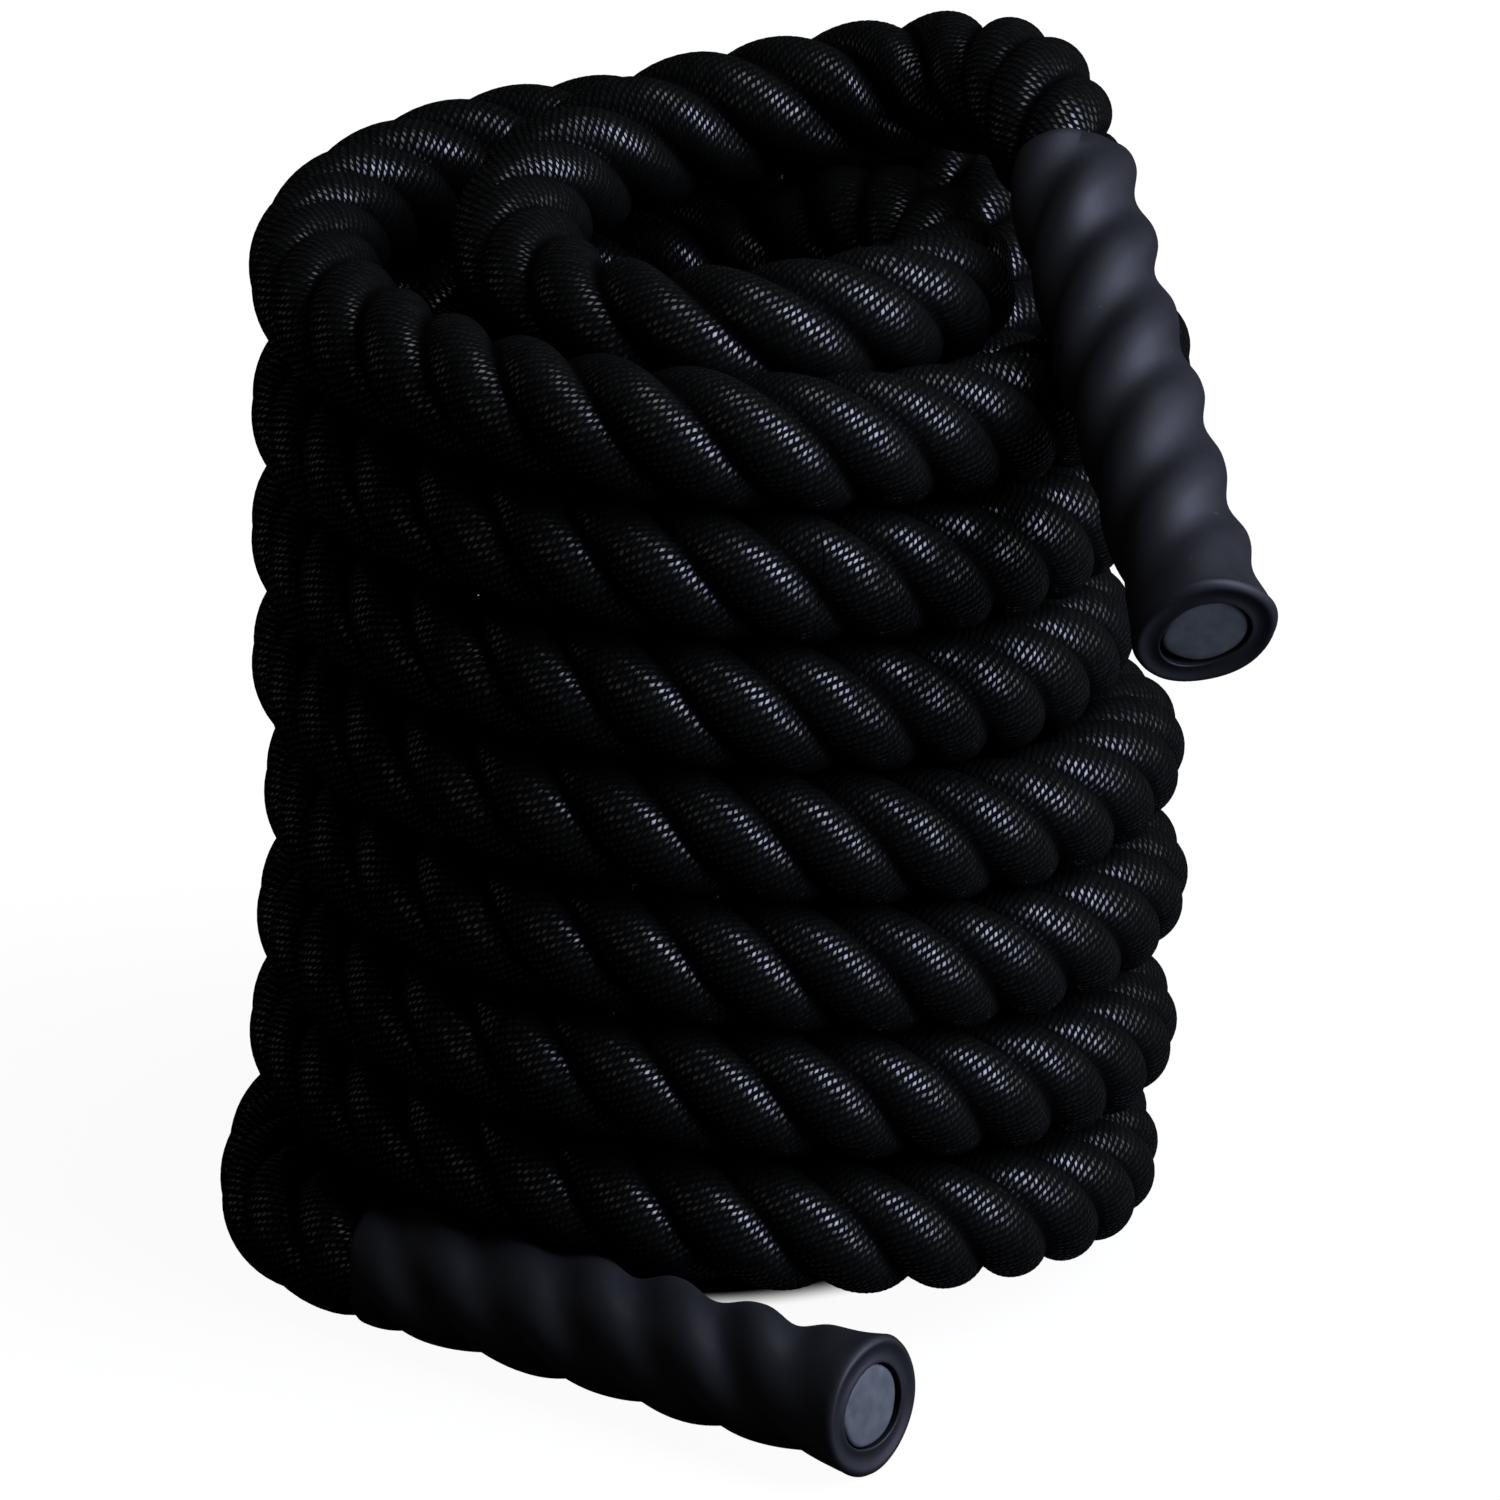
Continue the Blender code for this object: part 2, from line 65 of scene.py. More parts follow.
# The rope and its coil, as in the CAD model
ROPE_DIAMETER = 0.050
COIL_RADIUS = 0.154
CLEARANCE = 0.0003
POINTS_PER_TURN = 24
FLOOR_FLAT_SHARE = 0.1
COIL_NOMINAL_SHARE = 3.08
COIL_CENTRE_X = -0.00466
COIL_CENTRE_Y = 0.04425
STRANDS = 3
LAY_LENGTH = 0.108
STRAND_SQUEEZE_SHARE = 0.356
GRIP_LENGTH = 0.235
SLEEVE_WALL = 0.0021
LOBE_HEIGHT = 0.0010
FLARE_HEIGHT = 0.0036
FLARE_LENGTH = 0.030
TAPE_THICKNESS = 0.0006
STRAIGHT_END = 0.050
ROUTE_STEP = 0.0015

# Where the soft rope settles off its rigid CAD route: from and to angle, lowest and highest turn height in
# rope diameters, and rise. The lowest loose turn hangs between its rests, and an inner turn crowds the
# upper mouth. A stretch fades in from its lowest height on, by this share for each rope diameter.
SETTLED_FADE = 3
SETTLED_STRETCHES = (
    (215.0, 335.0, 0.0, 1.25, -0.0045),
    (20.0, 88.0, 6.2, 7.38, 0.0040),
)

# The rope's line is eased over this length. By the floor it is lifted, since the strands are round there
# and the CAD tube is flat, and what still hangs lower is pressed flat just over the floor.
EASING_LENGTH = 0.008
FLOOR_LIFT_SHARE = 0.075
FLOOR_GAP = 0.0006

# How finely the inner strands' orbit, the grips' places and a strand's edge are searched for
ORBIT_SAMPLES = 200
ORBIT_HALVINGS = 30
PUSH_HALVINGS = 24
ARC_SAMPLES = 2000

# Free stretch at the top: places across, back and up, in rope diameters
LEAD_SHARES = (
    (2.50, 0.20, 8.35),
    (2.36, 0.80, 8.42),
    (2.06, 1.45, 8.33),
    (1.52, 1.85, 8.21),
)
STUB_SHARES = ((0.94, 1.89, 8.09), (-0.04, 1.69, 7.97))

# Inner turns: angle, distance from the coil's radius and height over the bottom turn, in rope diameters
INNER_SHARES = (
    (110.0, -1.49, 7.88),
    (131.0, -1.56, 7.79),
    (155.0, -1.60, 7.70),
    (176.0, -1.59, 7.63),
    (210.0, -1.42, 7.56),
    (240.0, -1.13, 7.50),
    (270.0, -0.98, 7.50),
    (300.0, -1.06, 7.50),
    (330.0, -1.20, 7.38),
    (350.0, -1.30, 7.29),
    (370.0, -1.38, 7.31),
    (390.0, -1.43, 7.29),
    (410.0, -1.36, 7.11),
    (430.0, -1.20, 6.88),
    (450.0, -1.08, 6.72),
    (480.0, -1.07, 6.62),
    (510.0, -1.06, 6.62),
    (540.0, -1.04, 6.58),
    (585.0, -1.05, 6.45),
    (630.0, -1.08, 6.40),
    (660.0, -1.26, 6.38),
    (690.0, -1.34, 6.28),
    (710.0, -1.28, 6.23),
    (725.0, -1.10, 6.28),
    (738.0, -0.90, 6.40),
    (750.0, -0.63, 6.64),
    (770.0, -0.23, 7.03),
    (790.0, -0.08, 7.26),
    (810.0, -0.02, 7.325),
    (855.0, 0.0, 7.36),
)

# Outer turns, from the top one down: heights and distances from the coil's radius at each angle
TURN_ANGLES = (180.0, 250.0, 270.0, 315.0, 360.0, 390.0, 450.0)
TURN_HEIGHT_SHARES = (
    (7.31, 7.11, 7.02, 6.73, 6.47, 6.22, 6.28),
    (6.28, 6.08, 6.00, 5.70, 5.47, 5.30, 5.26),
    (5.26, 5.06, 4.98, 4.675, 4.44, 4.27, 4.24),
    (4.24, 4.047, 3.966, 3.67, 3.47, 3.25, 3.20),
    (3.20, 3.03, 2.944, 2.64, 2.42, 2.23, 2.16),
    (2.17, 2.015, 1.925, 1.58, 1.22, 1.10, 1.12),
    (1.14, 1.00, 0.905, 0.48, 0.10, 0.05, 0.02),
)
TURN_RADIUS_SHARES = (
    (-0.04, -0.02, 0.0, -0.36, -0.10, 0.34, 0.06),
    (-0.04, -0.02, 0.0, -0.32, -0.36, -0.28, 0.0),
    (-0.02, 0.0, 0.0, -0.28, -0.40, -0.32, 0.0),
    (-0.01, 0.0, 0.0, 0.0, 0.0, 0.0, 0.0),
    (-0.09, -0.02, 0.0, 0.04, 0.04, 0.02, 0.0),
    (-0.02, 0.0, 0.0, 0.01, -0.03, -0.05, 0.0),
    (0.06, -0.15, -0.09, -0.06, -0.16, -0.15, 0.0),
)
COIL_END_SHARES = ((504.0, 0.0, 0.0),)

# Free stretch at the bottom, and the grips' axes before each is pushed clear of the coil
TAIL_SHARES = ((-3.33, 0.15, 0.0), (-3.36, -0.60, 0.01), (-3.20, -1.40, 0.055))
UPPER_MOUTH_SHARE = (2.617, -0.28, 8.20)
UPPER_WAY_SHARE = (0.915, -3.97, -2.25)
UPPER_PUSH_SHARE = (0.0, -0.94, 0.35)
LOWER_MOUTH_SHARE = (-2.43, -2.00)
LOWER_WAY_SHARE = (3.79, -2.94)
LOWER_PUSH_SHARE = (-0.61, -0.79, 0.0)

# Worked out from the sizes above
ROPE_RADIUS = ROPE_DIAMETER / 2
FLOOR_HEIGHT = ROPE_RADIUS - FLOOR_FLAT_SHARE * ROPE_DIAMETER
COIL_AXIS = np.array((COIL_CENTRE_X, COIL_CENTRE_Y, FLOOR_HEIGHT))


# ---- routes ----


def unit(way):
    way = np.array(way, float)
    return way / np.linalg.norm(way)


def place(share):
    """A place given in rope diameters from the foot of the coil's axis, with its radius as built."""
    across, back, up = share
    angle = math.atan2(back, across)
    radius = COIL_RADIUS + (math.hypot(across, back) - COIL_NOMINAL_SHARE) * ROPE_DIAMETER
    return COIL_AXIS + np.array((radius * math.cos(angle), radius * math.sin(angle), up * ROPE_DIAMETER))


def natural_spline(knots, values, at):
    """A smooth curve of one value over knots, with free ends, read at the given places."""
    knots, values = np.array(knots, float), np.array(values, float)
    gaps = np.diff(knots)
    matrix, right = np.eye(len(knots)), np.zeros(len(knots))
    for i in range(1, len(knots) - 1):
        matrix[i, i - 1:i + 2] = gaps[i - 1], 2 * (gaps[i - 1] + gaps[i]), gaps[i]
        right[i] = 6 * ((values[i + 1] - values[i]) / gaps[i] - (values[i] - values[i - 1]) / gaps[i - 1])
    bends = np.linalg.solve(matrix, right)
    i = np.clip(np.searchsorted(knots, at, side="right") - 1, 0, len(knots) - 2)
    after, before = knots[i + 1] - at, at - knots[i]
    curved = (bends[i] * after**3 + bends[i + 1] * before**3) / (6 * gaps[i])
    return (
        curved
        + (values[i] / gaps[i] - bends[i] * gaps[i] / 6) * after
        + (values[i + 1] / gaps[i] - bends[i + 1] * gaps[i] / 6) * before
    )


def clamped_spline(points, start_way, end_way, step):
    """A smooth curve through points that leaves and arrives in the given directions."""
    points = np.array(points, float)
    knots = np.concatenate([[0], np.cumsum(np.linalg.norm(np.diff(points, axis=0), axis=1))])
    gaps = np.diff(knots)
    matrix, right = np.eye(len(points)), np.zeros_like(points)
    right[0], right[-1] = start_way, end_way
    for i in range(1, len(points) - 1):
        matrix[i, i - 1:i + 2] = gaps[i], 2 * (gaps[i - 1] + gaps[i]), gaps[i - 1]
        right[i] = 3 * (
            gaps[i] * (points[i] - points[i - 1]) / gaps[i - 1]
            + gaps[i - 1] * (points[i + 1] - points[i]) / gaps[i]
        )
    ways = np.linalg.solve(matrix, right)
    at = np.linspace(0, knots[-1], max(2, round(knots[-1] / step) + 1))
    i = np.clip(np.searchsorted(knots, at, side="right") - 1, 0, len(points) - 2)
    gap = gaps[i][:, None]
    s = (at - knots[i])[:, None] / gap
    return (
        (2 * s**3 - 3 * s**2 + 1) * points[i]
        + (s**3 - 2 * s**2 + s) * gap * ways[i]
        + (3 * s**2 - 2 * s**3) * points[i + 1]
        + (s**3 - s**2) * gap * ways[i + 1]
    )


def coil_route():
    """Points along the coil, with a straight run at each end, and the directions of those runs."""
    stations = list(INNER_SHARES)
    for turn, (heights, offsets) in enumerate(zip(TURN_HEIGHT_SHARES, TURN_RADIUS_SHARES)):
        for angle, height, offset in zip(TURN_ANGLES, heights, offsets):
            stations.append((angle + 360.0 * (turn + 2), offset, height))
    for angle, offset, height in COIL_END_SHARES:
        stations.append((angle + 360.0 * (len(TURN_HEIGHT_SHARES) + 1), offset, height))
    angles, offsets, heights = (np.array(column) for column in zip(*stations))
    count = round((angles[-1] - angles[0]) / 360.0 * POINTS_PER_TURN)
    at = np.linspace(angles[0], angles[-1], count + 1)
    radius = natural_spline(angles, COIL_RADIUS + offsets * ROPE_DIAMETER, at)
    height = natural_spline(angles, heights * ROPE_DIAMETER, at)
    turned = np.radians(at)
    points = np.stack([radius * np.cos(turned), radius * np.sin(turned), height], axis=1) + COIL_AXIS
    start = place(STUB_SHARES[0])
    start_way = unit(place(STUB_SHARES[1]) - start)
    end_way = unit((-math.sin(turned[-1]), math.cos(turned[-1]), 0))
    points = [start, start + start_way * STRAIGHT_END, *points, points[-1] + end_way * STRAIGHT_END]
    return np.array(points), start_way, end_way


def strand_orbit():
    """The radius that the squeezed strands wind at inside a sleeve."""
    spacing = ROPE_DIAMETER * STRAND_SQUEEZE_SHARE + CLEARANCE
    rise = np.linspace(0, LAY_LENGTH / STRANDS, ORBIT_SAMPLES)
    turn = 2 * math.pi * (1 / STRANDS - rise / LAY_LENGTH)
    near, far = 0.0, spacing * 2
    for _ in range(ORBIT_HALVINGS):
        orbit = (near + far) / 2
        apart = np.sqrt(2 * orbit**2 * (1 - np.cos(turn)) + rise**2).min()
        near, far = (orbit, far) if apart < spacing else (near, orbit)
    return far


def pushed_out(mouth, way, push, points, stand_off):
    """The mouth moved along push until the grip's axis lies stand_off from the coil's centreline."""
    along = np.arange(0, GRIP_LENGTH - FLARE_LENGTH, ROUTE_STEP * 2)[:, None]
    near, far = -ROPE_DIAMETER, ROPE_DIAMETER
    for _ in range(PUSH_HALVINGS):
        middle = (near + far) / 2
        axis = mouth + push * middle + way * along
        if min(np.linalg.norm(points - p, axis=1).min() for p in axis) < stand_off:
            near = middle
        else:
            far = middle
    return mouth + push * far


def running_length(points):
    return np.concatenate([[0], np.cumsum(np.linalg.norm(np.diff(points, axis=0), axis=1))])


def rope_layout():
    """Everything that the pieces share: the grips' mouths and directions, and the rope's centreline."""
    bundle = strand_orbit() + ROPE_DIAMETER * STRAND_SQUEEZE_SHARE / 2
    sleeve_radius = bundle + 2 * CLEARANCE + TAPE_THICKNESS + SLEEVE_WALL
    crest_radius = sleeve_radius + LOBE_HEIGHT
    flare_radius = crest_radius + FLARE_HEIGHT
    stand_off = ROPE_RADIUS + crest_radius + CLEARANCE
    points, start_way, end_way = coil_route()
    fine = clamped_spline(points[1:-1], start_way, end_way, ROUTE_STEP)

    upper_way = unit(UPPER_WAY_SHARE)
    upper_mouth = pushed_out(place(UPPER_MOUTH_SHARE), upper_way, unit(UPPER_PUSH_SHARE), fine, stand_off)
    mouth_height, end_height = crest_radius + CLEARANCE, flare_radius + CLEARANCE
    run = math.sqrt(GRIP_LENGTH**2 - (end_height - mouth_height) ** 2)
    lower_way = unit(unit((*LOWER_WAY_SHARE, 0)) * run + np.array((0, 0, end_height - mouth_height)))
    lower_start = place((*LOWER_MOUTH_SHARE, 0))
    lower_start[2] = mouth_height
    lower_mouth = pushed_out(lower_start, lower_way, unit(LOWER_PUSH_SHARE), fine, stand_off)

    lead = clamped_spline(
        [upper_mouth, *(place(p) for p in LEAD_SHARES), points[0]], -upper_way, start_way, ROUTE_STEP
    )
    tail = clamped_spline(
        [points[-1], *(place(p) for p in TAIL_SHARES), lower_mouth], end_way, lower_way, ROUTE_STEP
    )
    return {
        "sleeve_radius": sleeve_radius,
        "flare_radius": flare_radius,
        "upper": (upper_mouth, upper_way),
        "lower": (lower_mouth, lower_way),
        "tail_length": running_length(tail)[-1],
        "centreline": np.concatenate([lead, fine, tail]),
    }


LAYOUT = rope_layout()


def settled(points):
    """How far the soft rope lies above or below its rigid CAD route, where the photograph shows it."""
    angle = np.degrees(np.arctan2(points[:, 1] - COIL_CENTRE_Y, points[:, 0] - COIL_CENTRE_X)) % 360
    height = (points[:, 2] - FLOOR_HEIGHT) / ROPE_DIAMETER
    rise = np.zeros(len(points))
    for begin, end, lowest, highest, amount in SETTLED_STRETCHES:
        share = np.clip((angle - begin) / (end - begin), 0, 1)
        clear = np.clip((height - lowest) * SETTLED_FADE, 0, 1) * (height < highest)
        rise += amount * np.sin(math.pi * share) ** 2 * clear
    return rise


def rope_centreline(step, tuck):
    """Even points of the whole rope, tucked into both sleeves, and each one's length along it."""
    upper_mouth, upper_way = LAYOUT["upper"]
    lower_mouth, lower_way = LAYOUT["lower"]
    route = LAYOUT["centreline"].copy()
    route[:, 2] += settled(route)
    rough = np.concatenate([
        [upper_mouth + upper_way * tuck], route, [lower_mouth + lower_way * tuck]
    ])
    # Where two stretches join, the same point comes twice
    apart = np.linalg.norm(np.diff(rough, axis=0), axis=1) > ROUTE_STEP / 10
    rough = rough[np.concatenate([[True], apart])]
    along = running_length(rough)
    even = np.linspace(0, along[-1], round(along[-1] / step) + 1)
    points = np.stack([np.interp(even, along, rough[:, i]) for i in range(3)], axis=1)
    width = round(EASING_LENGTH / step)
    window = np.hanning(2 * width + 3)[1:-1]
    window /= window.sum()
    padded = np.concatenate([points[:1]] * width + [points] + [points[-1:]] * width)
    smooth = np.stack([np.convolve(padded[:, i], window, mode="valid") for i in range(3)], axis=1)
    near = np.minimum(even, even[-1] - even)
    ends = np.clip(near / (2 * width * step), 0, 1)[:, None]
    points = points * (1 - ends) + smooth * ends
    height = np.clip((points[:, 2] - FLOOR_HEIGHT) / ROPE_DIAMETER, 0, 1)
    away = np.clip(near / LAYOUT["tail_length"], 0, 1)
    points[:, 2] += FLOOR_LIFT_SHARE * ROPE_DIAMETER * (1 - height) ** 2 * away
    return points, even - tuck


# ---- node helpers ----


class Nodes:
    """A short way to add and link nodes in one tree, whose kind is left out of their names."""

    def __init__(self, tree):
        self.tree = tree
        self.prefix = tree.bl_idname.removesuffix("Tree")

    def add(self, kind, inputs=None, **settings):
        node = self.tree.nodes.new(self.prefix + kind)
        for key, value in settings.items():
            setattr(node, key, value)
        for key, value in (inputs or {}).items():
            self.feed(node.inputs[key], value)
        return node

    def feed(self, socket, value):
        if isinstance(value, bpy.types.NodeSocket):
            self.tree.links.new(value, socket)
        else:
            socket.default_value = value

    def fill(self, node, **values):
        """Feeds a node's inputs. Values that are the same all over stay on its own sockets."""
        for key, value in values.items():
            self.feed(node.inputs[key.replace("_", " ")], value)

    def math(self, operation, *values, clamp=False):
        node = self.tree.nodes.new("ShaderNodeMath")
        node.operation = operation
        node.use_clamp = clamp
        for i, value in enumerate(values):
            self.feed(node.inputs[i], value)
        return node.outputs[0]

    def smooth(self, value, low, high):
        node = self.add("MapRange", interpolation_type="SMOOTHSTEP")
        for i, v in enumerate((value, low, high)):
            self.feed(node.inputs[i], v)
        return node.outputs[0]

    def mix(self, factor, a, b):
        node = self.tree.nodes.new("ShaderNodeMix")
        node.data_type = "RGBA"
        self.feed(node.inputs[0], factor)
        self.feed(node.inputs[6], a)
        self.feed(node.inputs[7], b)
        return node.outputs[2]


def new_group(name, kind, inputs, outputs):
    """A node group with named sockets. inputs are (name, socket type, default)."""
    tree = bpy.data.node_groups.new(name, kind)
    for label, socket, default in inputs:
        made = tree.interface.new_socket(label, in_out="INPUT", socket_type="NodeSocket" + socket)
        if default is not None:
            made.default_value = default
    for label, socket in outputs:
        tree.interface.new_socket(label, in_out="OUTPUT", socket_type="NodeSocket" + socket)
    given, out = tree.nodes.new("NodeGroupInput"), tree.nodes.new("NodeGroupOutput")
    return tree, Nodes(tree), given.outputs, out.inputs


def colour(values):
    return (*tuple(values)[:3], 1.0)


# ---- the laid skin: a lobed section that winds along a route ----


def laid_skin_tree():
    """Geometry Nodes: a lobed section swept along a route, turned once in each lay length."""
    tree, nodes, given, out = new_group(
        "laid_skin", "GeometryNodeTree",
        [("Route", "Geometry", None), ("Section", "Object", None),
         ("Lay Length", "Float", LAY_LENGTH), ("Finish", "Material", None)],
        [("Skin", "Geometry")],
    )
    laid = nodes.add("InputNamedAttribute", {"Name": "laid"}, data_type="FLOAT")
    girth = nodes.add("InputNamedAttribute", {"Name": "girth"}, data_type="FLOAT")
    turns = nodes.math("DIVIDE", laid.outputs["Attribute"], given["Lay Length"])
    tilt = nodes.math("MULTIPLY", turns, 2 * math.pi)
    rail = nodes.add("MeshToCurve", {"Mesh": given["Route"]})
    level = nodes.add("SetCurveNormal", {"Curve": rail.outputs[0]})
    level.mode = "Z_UP"
    wound = nodes.add("SetCurveTilt", {"Curve": level.outputs[0], "Tilt": tilt})
    thickness = girth.outputs["Attribute"]
    sized = nodes.add("SetCurveRadius", {"Curve": wound.outputs[0], "Radius": thickness})
    section = nodes.add("ObjectInfo", {"Object": given["Section"]})
    ring = nodes.add("MeshToCurve", {"Mesh": section.outputs["Geometry"]})
    swept = nodes.add("CurveToMesh", {
        "Curve": sized.outputs[0], "Profile Curve": ring.outputs[0], "Fill Caps": True,
    })
    scale = swept.inputs.get("Scale")
    if scale is not None:
        nodes.feed(scale, thickness)
    real = nodes.add("RealizeInstances", {"Geometry": swept.outputs[0]})
    painted = nodes.add(
        "SetMaterial", {"Geometry": real.outputs[0], "Material": given["Finish"]})
    nodes.feed(out[0], painted.outputs[0])
    return tree


def polyline(name, points, closed, **values):
    """A line of points as a mesh, with a value for each point."""
    mesh = bpy.data.meshes.new(name)
    count = len(points)
    edges = [(i, (i + 1) % count) for i in range(count if closed else count - 1)]
    mesh.from_pydata([tuple(map(float, p)) for p in points], edges, [])
    for key, column in values.items():
        mesh.attributes.new(key, "FLOAT", "POINT").data.foreach_set("value", np.array(column, np.float32))
    return add_piece(name, mesh)


def strand_arc(orbit, out, side, count):
    """One strand's outside, from groove to groove: an oval cut off where its neighbours press on it."""
    half = math.pi / STRANDS
    psi = np.linspace(0, math.pi, ARC_SAMPLES)
    polar = np.arctan2(side * np.sin(psi), orbit + out * np.cos(psi))
    last = psi[np.argmax(polar >= half)]
    psi = np.linspace(-last, last, count + 1)
    return np.stack([orbit + out * np.cos(psi), side * np.sin(psi)], axis=1)


def strand_section(name, arc):
    """The rope's outline across, as a closed line, with each point's number round it."""
    points = []
    for strand in range(STRANDS):
        turn = 2 * math.pi * strand / STRANDS
        spin = np.array(((math.cos(turn), -math.sin(turn)), (math.sin(turn), math.cos(turn))))
        points += [(*(spin @ p), 0.0) for p in arc[:-1]]
    return polyline(name, points, True, around=range(len(points)))


def apply_nodes(holder, tree, values):
    """Runs a Geometry Nodes tree on an object, and returns the result as a plain mesh."""
    modifier = holder.modifiers.new(tree.name, "NODES")
    modifier.node_group = tree
    for item in tree.interface.items_tree:
        if item.in_out == "INPUT" and item.name in values:
            modifier[item.identifier] = values[item.name]
    holder.update_tag()
    bpy.context.view_layer.update()
    mesh = bpy.data.meshes.new_from_object(holder.evaluated_get(bpy.context.evaluated_depsgraph_get()))
    bpy.data.objects.remove(holder)
    return mesh


def read(items, key="value", width=1, kind=np.float32):
    """One value of each item, or a row of them."""
    values = np.empty(len(items) * width, kind)
    items.foreach_get(key, values)
    return values.reshape(-1, width) if width > 1 else values


# The weave goes on by this length from strand to strand, so that neighbours differ
WEAVE_SHIFT = 0.0371

# The bake map: the rope's wall in rows, in a strip with a margin, and each end face as a disc beside it
BAKE_ROWS = 2
BAKE_STRIP = 0.95
BAKE_MARGIN = 0.006
DISC_ACROSS = BAKE_STRIP + 0.025
DISC_UP = 0.03
DISC_STEP = 0.05
DISC_RADIUS = 0.02

# Two lengths along the rope count as the same within this
SAME_LENGTH = 1e-6


def map_rope(mesh, arc, start, end, lay_length):
    """Gives a rope piece its sharp grooves, its weave map and its bake map."""
    per_strand = len(arc) - 1
    total = per_strand * STRANDS
    vertex = read(mesh.loops, "vertex_index", kind=np.int32)
    sides = read(mesh.polygons, "loop_total", kind=np.int32)
    first = read(mesh.polygons, "loop_start", kind=np.int32)
    laid = read(mesh.attributes["laid"].data)
    around = read(mesh.attributes["around"].data).round().astype(int)

    # Each wall face's corners, with the strand they lie on and their number round it
    wall = sides == 4
    loops = first[wall][:, None] + np.arange(4)
    rings = around[vertex[loops]]
    low, high = rings.min(axis=1), rings.max(axis=1)
    lower = np.where(high - low == 1, low, total - 1)
    step = (rings != lower[:, None]).astype(int)
    local = lower[:, None] % per_strand + step
    strand = lower[:, None] // per_strand
    run = laid[vertex[loops]]

    widths = np.concatenate([[0], np.cumsum(np.linalg.norm(np.diff(arc, axis=0), axis=1))])
    widths -= widths[-1] / 2
    slant = math.atan(2 * math.pi * (arc[per_strand // 2][0]) / lay_length)
    across = widths[local]
    weave = np.zeros((len(vertex), 2), np.float32)
    weave[loops, 0] = run / math.cos(slant) + across * math.sin(slant) + strand * WEAVE_SHIFT
    weave[loops, 1] = across * math.cos(slant)
    mesh.uv_layers.new(name="Weave").uv.foreach_set("vector", weave.ravel())

    share = (run - start) / (end - start)
    row = np.minimum((share.mean(axis=1) * BAKE_ROWS).astype(int), BAKE_ROWS - 1)[:, None]
    turn = (lower[:, None] + step) / total
    bake = np.zeros((len(vertex), 2), np.float32)
    bake[loops, 0] = BAKE_MARGIN + (share * BAKE_ROWS - row) * (BAKE_STRIP - 2 * BAKE_MARGIN)
    bake[loops, 1] = (row + BAKE_MARGIN + turn * (1 - 2 * BAKE_MARGIN)) / BAKE_ROWS
    for number, cap in enumerate(np.nonzero(~wall)[0]):
        ring = first[cap] + np.arange(sides[cap])
        turned = 2 * math.pi * around[vertex[ring]] / total
        bake[ring, 0] = DISC_ACROSS + DISC_RADIUS * np.cos(turned)
        bake[ring, 1] = DISC_UP + DISC_STEP * number + DISC_RADIUS * np.sin(turned)
    mesh.uv_layers.new(name="OFBake").uv.foreach_set("vector", bake.ravel())

    mesh.polygons.foreach_set("use_smooth", wall)
    ends = read(mesh.edges, "vertices", 2, np.int32)
    groove = (around[ends] % per_strand == 0).all(axis=1)
    limit = (laid[ends] < start + SAME_LENGTH).all(axis=1) | (laid[ends] > end - SAME_LENGTH).all(axis=1)
    sharp = mesh.attributes.new("sharp_edge", "BOOLEAN", "EDGE")
    sharp.data.foreach_set("value", groove | limit)


def add_piece(name, data, finish=None):
    made = bpy.data.objects.new(name, data)
    bpy.context.scene.collection.objects.link(made)
    if finish is not None:
        data.materials.clear()
        data.materials.append(finish)
    return made


# ---- surface groups and materials ----


# The sheath's pattern: the ribs' angle, the strand's half width in the weave map, how ribs and floats
# wander, how sharp they are, and from where to where the crowns, the painted shade in the grooves between
# strands and the painted shade in the valleys between ribs come in
RIB_ANGLE = math.radians(84)
STRAND_HALF_WIDTH = 0.0135
NOISE_MIDDLE = 0.5
WANDER_SCALE = 90.0
RIB_WANDER = 0.7
FLOAT_WANDER = 0.8
RIB_SHARPNESS = 1.1
FLOAT_DEPTH = 0.5
CROWN_ON_RIB = (0.66, 0.97)
CROWN_ON_FLOAT = (0.45, 0.85)
GROOVE_SHADE_EDGE = (0.74, 0.97)
VALLEY_SHADE_EDGE = (0.10, 0.50)

# Floats differ in tone from the least by up to the span. Crowns are smoother than the rest by their share
TONE_LEAST = 0.6
TONE_SPAN = 0.8
YARN_ROUGHNESS = 0.85
CROWN_SMOOTHNESS = 0.35


